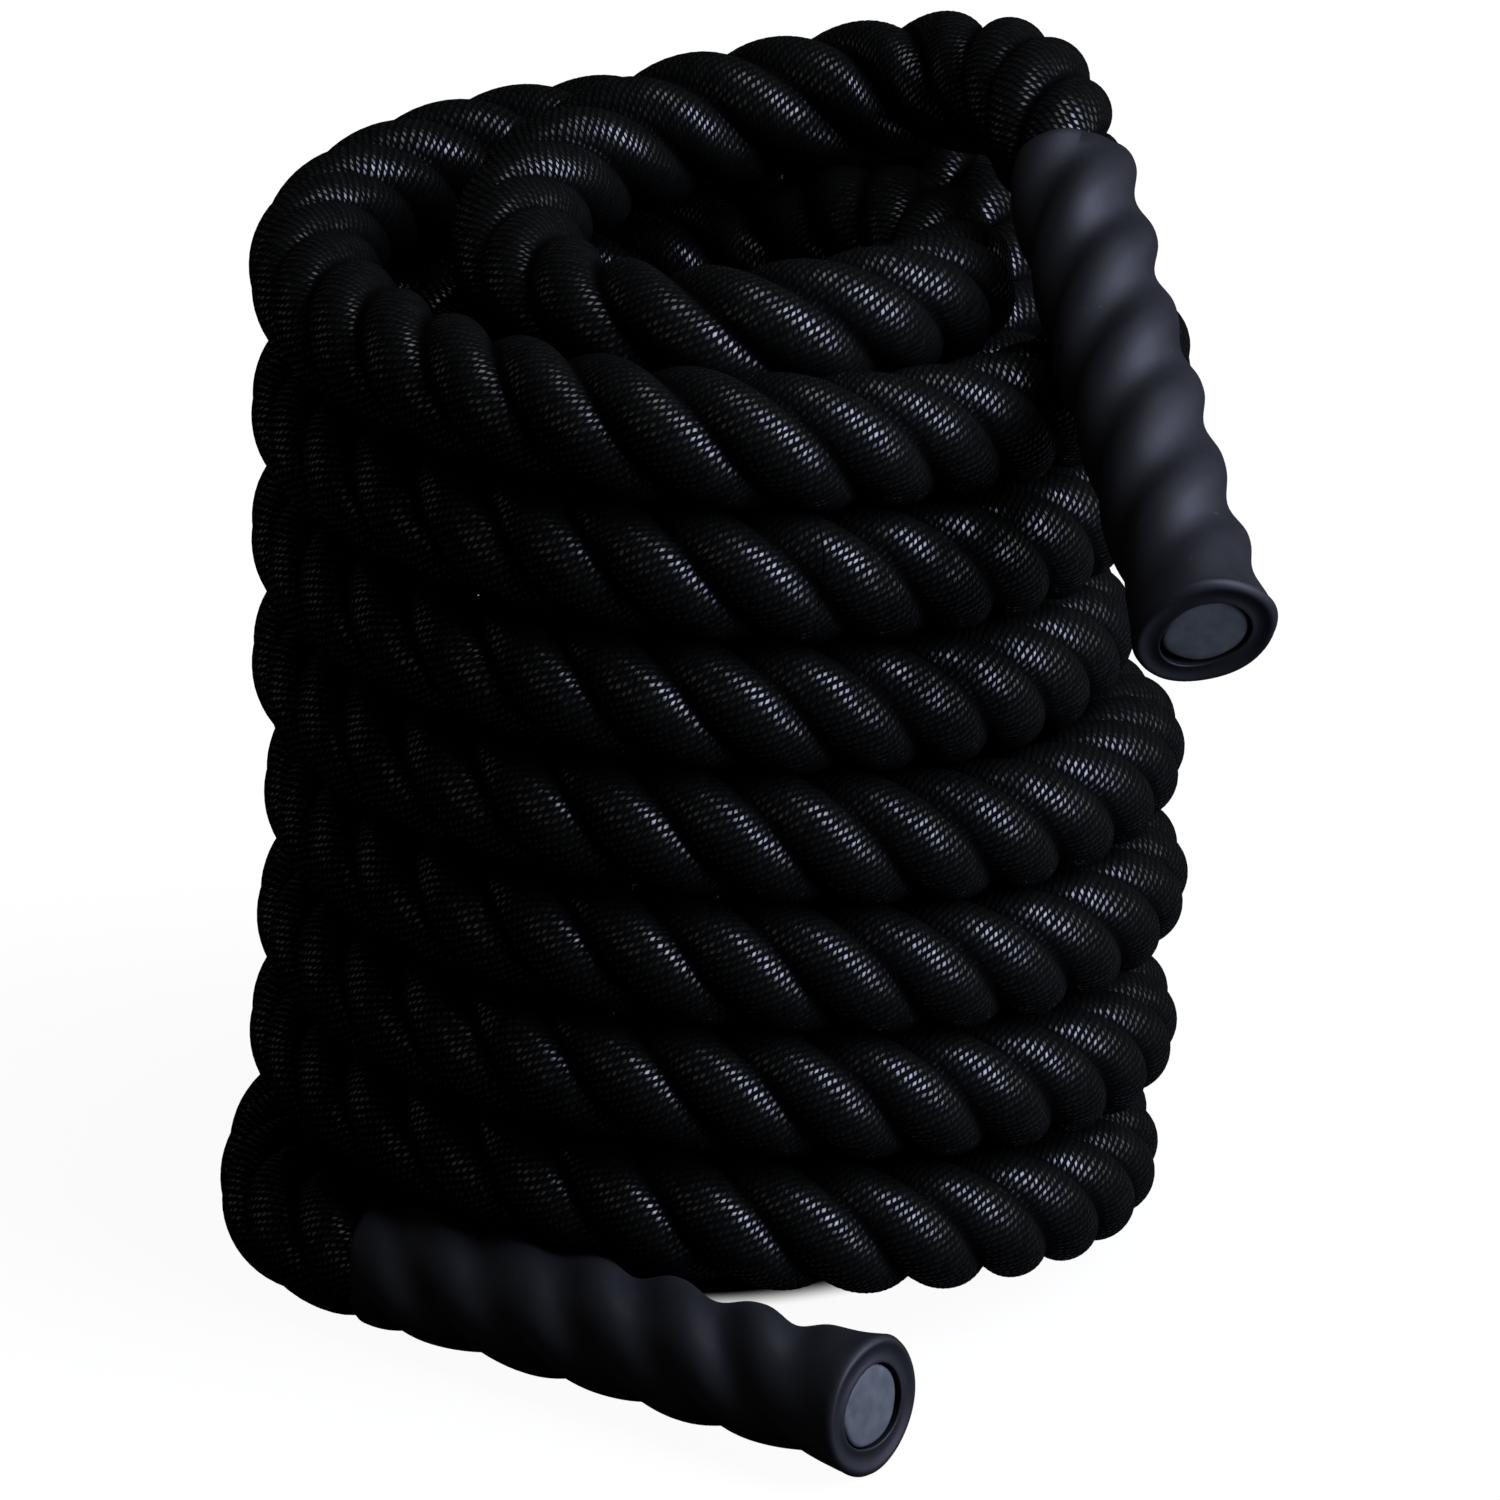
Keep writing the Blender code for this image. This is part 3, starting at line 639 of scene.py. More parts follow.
def sheath_group():
    """Braided sheath: ribs of short slanted floats across the strand, as a height and masks."""
    tree, n, given, out = new_group(
        "braided_sheath", "ShaderNodeTree",
        [("Along", "Float", 0.0), ("Across", "Float", 0.0),
         ("Rib Spacing", "Float", 0.0029), ("Float Length", "Float", 0.0024),
         ("Rib Angle", "Float", RIB_ANGLE), ("Half Width", "Float", STRAND_HALF_WIDTH)],
        [("Height", "Float"), ("Crowns", "Float"), ("Tone", "Float"),
         ("Groove", "Float")],
    )
    along, across = given["Along"], given["Across"]
    sine = n.math("SINE", given["Rib Angle"])
    cosine = n.math("COSINE", given["Rib Angle"])
    joined = n.add("CombineXYZ", {"X": along, "Y": across})
    wobble = n.add("TexNoise", noise_dimensions="2D")
    n.fill(wobble, Vector=joined.outputs[0], Scale=WANDER_SCALE, Detail=1.0)
    drift = n.math("MULTIPLY", n.math("SUBTRACT", wobble.outputs[0], NOISE_MIDDLE), RIB_WANDER)
    ribs = n.math("ADD", n.math("MULTIPLY", along, sine), n.math("MULTIPLY", across, cosine))
    ribs = n.math("ADD", n.math("DIVIDE", ribs, given["Rib Spacing"]), drift)
    floats = n.math("SUBTRACT", n.math("MULTIPLY", along, cosine), n.math("MULTIPLY", across, sine))
    floats = n.math("DIVIDE", floats, given["Float Length"])
    inside = n.math("FRACT", ribs)
    count = n.math("FLOOR", ribs)
    row = n.add("TexWhiteNoise", noise_dimensions="1D")
    n.feed(row.inputs["W"], count)
    slant = n.math("ADD", inside, row.outputs["Value"])
    floats = n.math("ADD", n.math("ADD", floats, slant), n.math("MULTIPLY", drift, FLOAT_WANDER))
    rib = n.math("POWER", n.math("SINE", n.math("MULTIPLY", inside, math.pi)), RIB_SHARPNESS)
    dash = n.math("ABSOLUTE", n.math("SINE", n.math("MULTIPLY", floats, math.pi)))
    raised = n.math("ADD", n.math("MULTIPLY", dash, FLOAT_DEPTH), 1.0 - FLOAT_DEPTH)
    shine = n.math("MULTIPLY", n.smooth(rib, *CROWN_ON_RIB), n.smooth(dash, *CROWN_ON_FLOAT))
    cell = n.add("CombineXYZ", {"X": count, "Y": n.math("FLOOR", floats)})
    pick = n.add("TexWhiteNoise", noise_dimensions="2D")
    n.feed(pick.inputs["Vector"], cell.outputs[0])
    # Painted shade: a mask that darkens each strand towards its edges, in the grooves between the strands
    edge = n.math("DIVIDE", n.math("ABSOLUTE", across), given["Half Width"])
    n.feed(out["Height"], n.math("MULTIPLY", rib, raised))
    n.feed(out["Crowns"], shine)
    n.feed(out["Tone"], pick.outputs["Value"])
    n.feed(out["Groove"], n.smooth(edge, *GROOVE_SHADE_EDGE))
    return tree


# A grained surface's height is this share soft waves, and the rest fine grain. Scuffs are rare peaks
WAVE_SHARE = 0.8
SCUFF_EDGE = (0.66, 0.74)


def grain_group():
    """Fine unevenness of a rubber or melted surface: soft waves, grain and rare scuffs."""
    tree, n, given, out = new_group(
        "satin_grain", "ShaderNodeTree",
        [("Vector", "Vector", None), ("Wave Scale", "Float", 60.0),
         ("Grain Scale", "Float", 1400.0)],
        [("Height", "Float"), ("Waves", "Float"), ("Scuffs", "Float")],
    )
    at = given["Vector"]
    waves = n.add("TexNoise", {"Vector": at, "Scale": given["Wave Scale"], "Detail": 3.0})
    grain = n.add("TexNoise", {"Vector": at, "Scale": given["Grain Scale"], "Detail": 2.0})
    scuff = n.add("TexNoise", {"Vector": at, "Scale": 230.0, "Detail": 4.0, "Roughness": 0.7})
    grain_height = n.math("MULTIPLY", grain.outputs[0], 1.0 - WAVE_SHARE)
    wave_height = n.math("MULTIPLY", waves.outputs[0], WAVE_SHARE)
    n.feed(out["Height"], n.math("ADD", wave_height, grain_height))
    n.feed(out["Waves"], waves.outputs[0])
    n.feed(out["Scuffs"], n.smooth(scuff.outputs[0], *SCUFF_EDGE))
    return tree


def cleared(owner):
    """The emptied node tree of a material or world."""
    owner.use_nodes = True
    owner.node_tree.nodes.clear()
    return Nodes(owner.node_tree)


def new_material(name):
    made = bpy.data.materials.new(name)
    n = cleared(made)
    out = n.add("OutputMaterial")
    surface = n.add("BsdfPrincipled")
    n.feed(out.inputs["Surface"], surface.outputs[0])
    return made, n, surface


def dress(n, surface, base, height, strength, depth):
    """Gives a shader its colour and its bump, whose depth is in metres."""
    bump = n.add("Bump", {"Strength": strength, "Distance": depth, "Height": height})
    n.fill(surface, Base_Color=base, Normal=bump.outputs[0])


def rope_finish(colours, sizes):
    made, n, surface = new_material("rope_sheath")
    uv = n.add("UVMap", uv_map="Weave")
    split = n.add("SeparateXYZ", {"Vector": uv.outputs[0]})
    sheath = n.add("Group", node_tree=bpy.data.node_groups["braided_sheath"])
    n.fill(sheath, Along=split.outputs["X"], Across=split.outputs["Y"])
    n.fill(sheath, Rib_Spacing=sizes.rib_spacing, Float_Length=sizes.float_length)
    crowns, height = sheath.outputs["Crowns"], sheath.outputs["Height"]
    # Painted shade: the colour is darker in the valleys between the ribs, where shade falls, and paler on
    # the raised floats
    valley_shaded_yarn = n.mix(n.smooth(height, *VALLEY_SHADE_EDGE), colour(colours.rope_dark_tone_and_valley_shade), colour(colours.rope_yarn))
    tone_and_groove_shade = n.math("ADD", n.math("MULTIPLY", sheath.outputs["Tone"], TONE_SPAN), TONE_LEAST)
    # Painted shade: the colour and the floats' gloss fade towards each strand's edges, in the grooves
    # between strands; the random tone of the floats is real
    tone_and_groove_shade = n.math("MULTIPLY", tone_and_groove_shade, n.math("SUBTRACT", 1.0, sheath.outputs["Groove"]))
    toned_and_shaded = n.add("VectorMath", {0: valley_shaded_yarn}, operation="SCALE")
    n.feed(toned_and_shaded.inputs["Scale"], tone_and_groove_shade)
    smoother = n.math("MULTIPLY", crowns, CROWN_SMOOTHNESS)
    gloss = n.math("MULTIPLY", crowns, n.math("MULTIPLY", tone_and_groove_shade, colours.yarn_gloss), clamp=True)
    n.fill(surface, Roughness=n.math("SUBTRACT", YARN_ROUGHNESS, smoother), Specular_IOR_Level=0.03)
    n.fill(surface, Coat_Weight=gloss, Coat_Roughness=0.26)
    dress(n, surface, toned_and_shaded.outputs[0], height, strength=1.0, depth=sizes.rib_height)
    return made


def grained(
        name, dark, pale, rough, rough_span, strength, depth, shine=0.5,
        scuff=None, scuff_share=0.0, **scales):
    """A rubber or melted surface: soft waves between two colours, fine grain and perhaps scuffs."""
    made, n, surface = new_material(name)
    grain = n.add("Group", node_tree=bpy.data.node_groups["satin_grain"])
    n.fill(grain, Vector=n.add("TexCoord").outputs["Object"], **scales)
    waves = grain.outputs["Waves"]
    base = n.mix(waves, colour(dark), colour(pale))
    if scuff is not None:
        base = n.mix(n.math("MULTIPLY", grain.outputs["Scuffs"], scuff_share), base, colour(scuff))
    roughness = n.math("ADD", rough, n.math("MULTIPLY", waves, rough_span))
    n.fill(surface, Roughness=roughness, Specular_IOR_Level=shine)
    dress(n, surface, base, grain.outputs["Height"], strength, depth)
    return made


def rubber_finish(colours):
    return grained(
        "sleeve_rubber", colours.sleeve, colours.sleeve_bloom, rough=0.46, rough_span=0.14,
        strength=0.25, depth=0.0006, shine=0.18, scuff=colours.scuff, scuff_share=0.35)


def melt_finish(colours):
    return grained(
        "sealed_end", colours.melt_dark, colours.melt_pale, rough=0.34, rough_span=0.2,
        strength=0.4, depth=0.0005, Wave_Scale=160.0, Grain_Scale=900.0)


def banded(name, dark, pale, rough, strength, depth, **waves):
    """A plain finish with soft bands between two colours."""
    made, n, surface = new_material(name)
    wave = n.add("TexWave")
    n.fill(wave, Vector=n.add("TexCoord").outputs["Object"], **waves)
    fac = wave.outputs["Fac"]
    dress(n, surface, n.mix(fac, colour(dark), colour(pale)), fac, strength, depth)
    n.fill(surface, Roughness=rough)
    return made


def tape_finish(colours):
    return banded(
        "whipping_tape", colours.rope_dark_tone_and_valley_shade, colours.sleeve, rough=0.5,
        strength=0.3, depth=0.0003, Scale=180.0, Distortion=1.0)


def inner_strand_finish(colours):
    return banded(
        "inner_strand", colours.rope_dark_tone_and_valley_shade, colours.rope_yarn, rough=0.6,
        strength=0.6, depth=0.0005, Scale=90.0, Distortion=2.0)


# ---- pieces ----


def build_rope(sizes, colours):
    """The whole rope, as one piece for each turn or so."""
    sheath_group()
    finish = rope_finish(colours, sizes)
    tree = laid_skin_tree()
    points, laid = rope_centreline(sizes.ring_step, sizes.tuck)
    whole = laid[-1] - sizes.tuck
    short = sizes.end_piece
    cuts = [laid[0], *np.linspace(short, whole - short, sizes.coil_pieces + 1), laid[-1]]
    marks = [int(np.argmin(np.abs(laid - cut))) for cut in cuts]
    near = np.minimum(laid, whole - laid)
    eased = np.clip((near + sizes.tuck) / sizes.neck_length, 0, 1)
    back = np.clip((points[:, 1] - COIL_CENTRE_Y) / COIL_RADIUS, 0, 1)
    full = sizes.fullness + sizes.back_fullness * back
    girth = sizes.neck_share + (full - sizes.neck_share) * eased * eased * (3 - 2 * eased)
    arc = strand_arc(sizes.orbit, ROPE_RADIUS - sizes.orbit, sizes.strand_side, sizes.strand_points)
    section = strand_section("rope_section", arc)
    given = {"Section": section, "Lay Length": sizes.lay_length, "Finish": finish}
    names = ["rope_upper_end", *(f"rope_turn_{i + 1}" for i in range(sizes.coil_pieces)), "rope_lower_end"]
    for name, begin, end in zip(names, marks, marks[1:]):
        part = slice(begin, end + 1)
        rail = polyline(name + "_route", points[part], False, laid=laid[part], girth=girth[part])
        mesh = apply_nodes(rail, tree, given)
        mesh.name = name
        map_rope(mesh, arc, laid[begin], laid[end], sizes.lay_length)
        at = read(mesh.attributes["position"].data, "vector", 3)
        at[:, 2] = np.maximum(at[:, 2], FLOOR_GAP)
        mesh.vertices.foreach_set("co", at.ravel())
        mesh.update()
        piece = add_piece(name, mesh, finish)
        if name == "rope_upper_end":
            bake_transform(piece)
            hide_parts("rope_upper_lead")
        elif name == "rope_lower_end":
            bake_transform(piece)
            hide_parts("rope_lower_tail")
        else:
            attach(piece, "coil_body")
            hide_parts("rope_coil")
    bpy.data.objects.remove(section)


def frame_at(origin, way):
    """A frame with its Z along way and its X level, as the CAD grips have."""
    z = Vector(way).normalized()
    x = Vector((0, 0, 1)).cross(z).normalized()
    y = z.cross(x)
    return Matrix.Translation(Vector(origin)) @ Matrix((x, y, z)).transposed().to_4x4()


def rings_to_mesh(name, rings, closed=False):
    """A skin over rings of points, with each end closed by a centre point if asked."""
    count = len(rings[0])
    work = bmesh.new()
    rows = [[work.verts.new(tuple(map(float, p))) for p in ring] for ring in rings]
    for low, high in zip(rows, rows[1:]):
        for i in range(count):
            j = (i + 1) % count
            work.faces.new((low[i], low[j], high[j], high[i]))
    for row in (rows[0], rows[-1]) if closed else ():
        centre = work.verts.new(sum((v.co for v in row), Vector()) / count)
        for i in range(count):
            work.faces.new((row[i], row[(i + 1) % count], centre))
    bmesh.ops.recalc_face_normals(work, faces=work.faces)
    mesh = bpy.data.meshes.new(name)
    work.to_mesh(mesh)
    work.free()
    mesh.polygons.foreach_set("use_smooth", [True] * len(mesh.polygons))
    return mesh


# Each grip's own number, which makes its unevenness differ from the other's
SEEDS = {"upper": 0.6, "lower": 2.1}

# A sleeve's profile, in metres. Its skin starts this far from the mouth and runs this far along
SKIN_START = 0.0008
SKIN_RUN = GRIP_LENGTH - 0.0062
SKIN_END = GRIP_LENGTH - 0.0054
SKIN_INSET = 0.0002

# The skin thins towards its mouth. Its lobes are sharp by this power, fade over this share of the flare's
# run and are uneven about a middle share of their height
MOUTH_LENGTH = 0.012
MOUTH_INSET = 0.0009
LOBE_SHARPNESS = 2.6
FADE_SHARE = 1.4
LOBE_MIDDLE = 0.8
LOBE_SWING = 0.25

# Ripples of the skin: height, waves round, twist along and share of the grip's own number
RIPPLES = ((0.0003, 3, 40, 1), (0.0002, 5, -63, 2))

# The flare's swell: its share of the height, and the terms that make it steep early and flat late
FLARE_SHARE = 0.93
FLARE_EARLY = 1.6
FLARE_LATE = 0.6

# Rings of the inner wall and of the mouth's round: inset and place along
WALL_RINGS = ((0.0004, MOUTH_LENGTH), (0.0002, 0.0012))
MOUTH_RINGS = ((0.0013, 0.0002), (0.0005, 0.0))

# Rings of the lip's round: share of its ridge, inset and distance from the far end
RIDGE_HEIGHT = 0.0005
RIDGE_WAVE = 0.0002
LIP_RINGS = (
    (0.3, 0.0, 0.0040), (1.0, 0.0, 0.0026), (0.5, 0.0004, 0.0012),
    (0.0, 0.0010, 0.0004), (0.0, 0.0019, 0.0001),
)

# Rings of the lip's face: share of the way to the opening and distance from the far end
FACE_INSET = 0.0019
FACE_RINGS = ((0.12, 0.0004), (0.3, 0.0012), (0.55, 0.0016), (0.8, 0.0011), (0.93, 0.0005), (0.98, 0.0006))

# Rings inside the opening: how much wider it gets and distance from the far end
OPENING_RINGS = ((0.0, 0.0010), (0.0001, 0.0014), (0.0006, 0.0030), (0.0010, 0.0048))


def sleeve_mesh(name, sizes, seed):
    """A grip's sleeve: strands showing through, a flared end, a rolled-in lip and its inner wall."""
    base = LAYOUT["sleeve_radius"]
    count = sizes.sleeve_points
    angle = 2 * math.pi * np.arange(count) / count
    body_end = GRIP_LENGTH - sizes.flare_run
    flare = LAYOUT["flare_radius"]

    def lobes(along):
        phase = STRANDS * (angle - 2 * math.pi * along / sizes.sleeve_lay) / 2
        return 1 - 2 * np.abs(np.sin(phase)) ** LOBE_SHARPNESS

    def ring(radius, along):
        radius, height = np.broadcast_to(radius, (count,)), np.full(count, float(along))
        return np.stack([radius * np.cos(angle), radius * np.sin(angle), height], axis=1)

    def outer(along):
        fade = np.clip((GRIP_LENGTH - along) / (sizes.flare_run * FADE_SHARE), 0, 1)
        fade = fade * fade * (3 - 2 * fade)
        entry = np.clip(along / MOUTH_LENGTH, 0, 1)
        rise = np.clip((along - body_end) / sizes.flare_run, 0, 1)
        swell = (flare - base) * FLARE_SHARE * rise * rise * (FLARE_EARLY - FLARE_LATE * rise)
        ripple = sum(
            height * np.sin(waves * angle + twist * along + own * seed)
            for height, waves, twist, own in RIPPLES
        )
        swing = np.sin(angle + 31 * along + 3 * seed) * math.cos(57 * along + seed)
        uneven = LOBE_MIDDLE + LOBE_SWING * swing
        strands = sizes.lobe_height * uneven * lobes(along) * fade
        return base - SKIN_INSET + strands + swell + ripple - MOUTH_INSET * (1 - entry) ** 2

    rings = [ring(base - sizes.wall - inset, along) for inset, along in WALL_RINGS]
    rings += [ring(outer(0.0) - inset, along) for inset, along in MOUTH_RINGS]
    steps = round(SKIN_RUN / sizes.sleeve_step)
    for i in range(steps + 1):
        along = SKIN_START + SKIN_RUN * i / steps
        rings.append(ring(outer(along), along))
    edge = outer(SKIN_END)
    ridge = RIDGE_HEIGHT * (1 + np.sin(angle + seed)) + RIDGE_WAVE * np.sin(4 * angle + seed)
    uneven = 1 + 0.025 * np.cos(3 * angle + seed) - 0.03 * np.cos(2 * angle + 1.0 + seed)
    hole = sizes.lip_opening * uneven
    for share, inset, depth in LIP_RINGS:
        rings.append(ring(np.minimum(edge + share * ridge - inset, flare - 0.0001), GRIP_LENGTH - depth))
    for share, depth in FACE_RINGS:
        rings.append(ring((edge - FACE_INSET) * (1 - share) + hole * share, GRIP_LENGTH - depth))
    rings += [ring(hole + wider, GRIP_LENGTH - depth) for wider, depth in OPENING_RINGS]
    return rings_to_mesh(name, rings)


# A sealed end: how deep it sits, and its rings: share of its radius and height over its top
SEAL_DEPTH = 0.0016
SEAL_POINTS = 64
SEAL_SHIFT = 0.0004
SEAL_RINGS = (
    (1.0, -0.0062), (1.0, -0.0018), (0.99, -0.0010), (0.96, -0.0004),
    (0.90, -0.0001), (0.75, 0.0), (0.5, 0.0001), (0.25, 0.0),
)


def seal_mesh(name, sizes, seed):
    """The sealed rope end: a low melted dome that doesn't quite fill the lip's opening."""
    angle = 2 * math.pi * np.arange(SEAL_POINTS) / SEAL_POINTS
    top = GRIP_LENGTH - SEAL_DEPTH
    uneven = 0.955 + 0.02 * np.cos(2 * angle + seed) + 0.012 * np.cos(5 * angle + 2 * seed)
    radius = sizes.lip_opening * uneven
    rings = [
        np.stack([
            radius * scale * np.cos(angle) + SEAL_SHIFT * math.cos(seed),
            radius * scale * np.sin(angle) + SEAL_SHIFT * math.sin(seed),
            np.full(SEAL_POINTS, top + height),
        ], axis=1)
        for scale, height in SEAL_RINGS
    ]
    return rings_to_mesh(name, rings, closed=True)


def grip_piece(label, kind, make, sizes, finish):
    """One piece of a grip, made along its own Z and then set on the grip's axis."""
    mouth, way = LAYOUT[label]
    name = f"{label}_{kind}"
    mesh = make(name, sizes, SEEDS[label])
    mesh.transform(frame_at(mouth, way))
    mesh.update()
    piece = add_piece(name, mesh, finish)
    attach(piece, label + "_grip_body")
    return piece


def build_grips(sizes, colours):
    finish = rubber_finish(colours)
    for label in SEEDS:
        piece = grip_piece(label, "sleeve", sleeve_mesh, sizes, finish)
        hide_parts(label + "_grip")


def build_sealed_ends(sizes, colours):
    finish = melt_finish(colours)
    for label in SEEDS:
        piece = grip_piece(label, "sealed_end", seal_mesh, sizes, finish)
        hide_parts(label + "_rope_seal")


def finish_inner_pieces(colours):
    """The strands and tape inside the sleeves keep their CAD shapes and get their finish."""
    strand, tape = inner_strand_finish(colours), tape_finish(colours)
    for label in ("upper", "lower"):
        for node in [f"{label}_strand_{i + 1}" for i in range(STRANDS)] + [label + "_whipping"]:
            material = tape if node.endswith("whipping") else strand
            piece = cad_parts[node]
            for slot in piece.material_slots:
                slot.material = material


# ---- the stage ----


# What the camera aims at: columns of the photograph's middle and of the coil's axis, the width of the rope
# in pixels, and the height in rope diameters
PHOTO_MIDDLE_COLUMN = 750
COIL_AXIS_COLUMN = 718
PIXELS_PER_DIAMETER = 130
AIM_HEIGHT_SHARE = 3.429
SENSOR_WIDTH = 36.0

# The floor and the painted shade under the coil, a dark disc: the disc's middle off the coil's in rope
# radii, its soft edge in coil radii, and how many coil radii out the floor's white is full; nearer in, the
# white dims as painted shade round the coil
FLOOR_REACH = 12.0
SHADE_DISC_PLACE = (-0.6, 2)
SHADE_DISC_EDGE = (0.86, 0.98)
WHITE_REACH = 4

# Lamps: name, place, width and height, and colour. Each one's watts are a value of the stage
LAMP_AIM_HEIGHT = 0.22
LAMPS = (
    ("key", (1.90, -0.85, 1.75), (1.7, 2.3), (0.66, 0.71, 1.0)),
    ("low", (2.10, -0.90, 0.36), (1.2, 0.7), (0.66, 0.71, 1.0)),
    ("left", (-2.0, 0.5, 0.8), (1.2, 1.8), (0.95, 0.98, 1.0)),
    ("fill", (-1.5, -2.6, 1.3), (2.4, 2.0), (1.0, 0.98, 0.96)),
    ("right", (2.0, 0.6, 0.9), (0.8, 1.4), (0.94, 1.0, 0.98)),
    ("top", (0.45, -0.10, 2.55), (1.5, 0.8), (0.84, 0.87, 1.0)),
)


def set_camera(stage):
    tilt = stage.elevation
    aside = (PHOTO_MIDDLE_COLUMN - COIL_AXIS_COLUMN) / PIXELS_PER_DIAMETER
    shift = Vector((aside, 0, AIM_HEIGHT_SHARE)) * ROPE_DIAMETER
    camera = bpy.data.cameras.new("camera")
    camera.sensor_width = SENSOR_WIDTH
    camera.lens = stage.lens
    holder = add_piece("camera", camera)
    way = Vector((0, -math.cos(tilt), math.sin(tilt)))
    holder.location = Vector(COIL_AXIS) + shift + way * stage.distance
    holder.rotation_euler = (math.pi / 2 - tilt, 0, 0)
    bpy.context.scene.camera = holder


def lay_floor(stage):
    """A floor that only the camera sees as white, dimmed near the coil as painted shade, with a disc of
    painted shade under the coil.
    """
    mesh = bpy.data.meshes.new("floor")
    work = bmesh.new()
    bmesh.ops.create_grid(work, x_segments=1, y_segments=1, size=FLOOR_REACH)
    work.to_mesh(mesh)
    work.free()
    made = bpy.data.materials.new("pale_floor")
    n = cleared(made)
    out = n.add("OutputMaterial")
    matte = n.add("BsdfDiffuse")
    rays = n.add("LightPath")
    at = n.add("TexCoord")
    across, back = SHADE_DISC_PLACE
    heart = (COIL_CENTRE_X + across * ROPE_RADIUS, COIL_CENTRE_Y + back * ROPE_RADIUS, 0.0)
    reach = n.add("VectorMath", {0: at.outputs["Object"], 1: heart}, operation="DISTANCE")
    # Painted shade: inside this disc under the coil the floor's colour and its camera white both go to
    # black
    clear = n.smooth(reach.outputs["Value"], *(share * COIL_RADIUS for share in SHADE_DISC_EDGE))
    # Painted shade: the camera white dims from full far off down to the floor glow at the coil
    away = n.smooth(reach.outputs["Value"], COIL_RADIUS, WHITE_REACH * COIL_RADIUS)
    level = n.math("ADD", stage.floor_glow, n.math("MULTIPLY", away, 1.0 - stage.floor_glow))
    n.feed(matte.inputs["Color"], n.mix(clear, colour((0, 0, 0)), colour(stage.floor)))
    glow = n.add("Emission", {"Color": colour((1, 1, 1))})
    seen = n.math("MULTIPLY", rays.outputs["Is Camera Ray"], clear)
    n.feed(glow.inputs["Strength"], n.math("MULTIPLY", seen, level))
    both = n.add("AddShader", {0: matte.outputs[0], 1: glow.outputs[0]})
    n.feed(out.inputs["Surface"], both.outputs[0])
    floor = add_piece("floor", mesh, made)


def set_world(stage):
    """White to the camera, and a dim light from all round to everything else."""
    world = bpy.data.worlds.new("studio")
    bpy.context.scene.world = world
    n = cleared(world)
    out = n.add("OutputWorld")
    rays = n.add("LightPath")
    seen = n.math("MAXIMUM", rays.outputs["Is Camera Ray"], rays.outputs["Is Transmission Ray"])
    strength = n.math("ADD", stage.world_level, n.math("MULTIPLY", seen, 1.0 - stage.world_level))
    ground = n.add("Background", {"Color": colour((1, 1, 1)), "Strength": strength})
    n.feed(out.inputs["Surface"], ground.outputs[0])


def hang_lamps(stage):
    middle = Vector((COIL_CENTRE_X, COIL_CENTRE_Y, LAMP_AIM_HEIGHT))
    for name, place_at, size, hue in LAMPS:
        data = bpy.data.lights.new(name, "AREA")
        data.shape = "RECTANGLE"
        data.size, data.size_y = size
        data.energy = getattr(stage, name + "_power")
        data.color = hue
        made = add_piece(name, data)
        made.location = place_at
        made.rotation_euler = (middle - Vector(place_at)).to_track_quat("-Z", "Y").to_euler()


def build_stage(stage):
    bpy.context.scene.view_settings.view_transform = "Standard"
    set_camera(stage)
    lay_floor(stage)
    set_world(stage)
    hang_lamps(stage)


# ---- add-on ----


def number(name, description, default, **unit):
    return FloatProperty(name=name, description=description, default=default, **unit)


def length(name, description, default):
    return number(name, description, default, unit="LENGTH")


def tint(name, description, default):
    return FloatVectorProperty(name=name, description=description, subtype="COLOR", size=3, default=default)


class BattleRopeSizes(bpy.types.PropertyGroup):
    lay_length: length("Lay length", "Length of rope in which a strand goes once round", 0.100)
    orbit: length("Strand orbit", "Distance of a strand's middle from the rope's", 0.0105)
    strand_side: length("Strand side", "Half width of a strand across the rope", 0.0163)
    fullness: number(
        "Fullness", "Thickness of the loose rope, where its strands bed into the next turn's", 1.02)
    back_fullness: number(
        "Back fullness", "Further share at the back, where the turns lie pressed together", 0.145)
    strand_points: IntProperty(
        name="Strand points", description="Points round one strand's outside", default=14, min=6)
    ring_step: length("Ring step", "Distance between the rings of the rope's skin", 0.0020)
    rib_spacing: length("Rib spacing", "Distance between ribs of the braided sheath", 0.0029)
    float_length: length("Float length", "Length of one yarn float in a rib", 0.0024)
    rib_height: length("Rib height", "Height of the ribs", 0.00035)
    coil_pieces: IntProperty(
        name="Coil pieces", description="Pieces that the coil is made in", default=9, min=1)
    end_piece: length("End piece", "Length of the rope's end pieces outside the grips", 0.312)
    tuck: length("Tuck", "Length of rope skin that goes on inside each sleeve", 0.006)
    neck_length: length("Neck length", "Length over which the rope narrows to a sleeve", 0.020)
    neck_share: number("Neck share", "Thickness of the rope in the mouth, as a share", 0.84)
    sleeve_lay: length("Sleeve lay", "Length of sleeve in which a strand goes once round", 0.115)
    lobe_height: length("Lobe height", "How far the strands show through a sleeve", 0.0025)
    flare_run: length("Flare run", "Length of a sleeve's flared end", 0.034)
    wall: length("Wall", "Thickness of a sleeve's wall", 0.0018)
    lip_opening: length("Lip opening", "Radius of the opening in a sleeve's lip", 0.0168)
    sleeve_points: IntProperty(
        name="Sleeve points", description="Points round a sleeve", default=72, min=12)
    sleeve_step: length("Sleeve step", "Distance between a sleeve's rings", 0.0025)


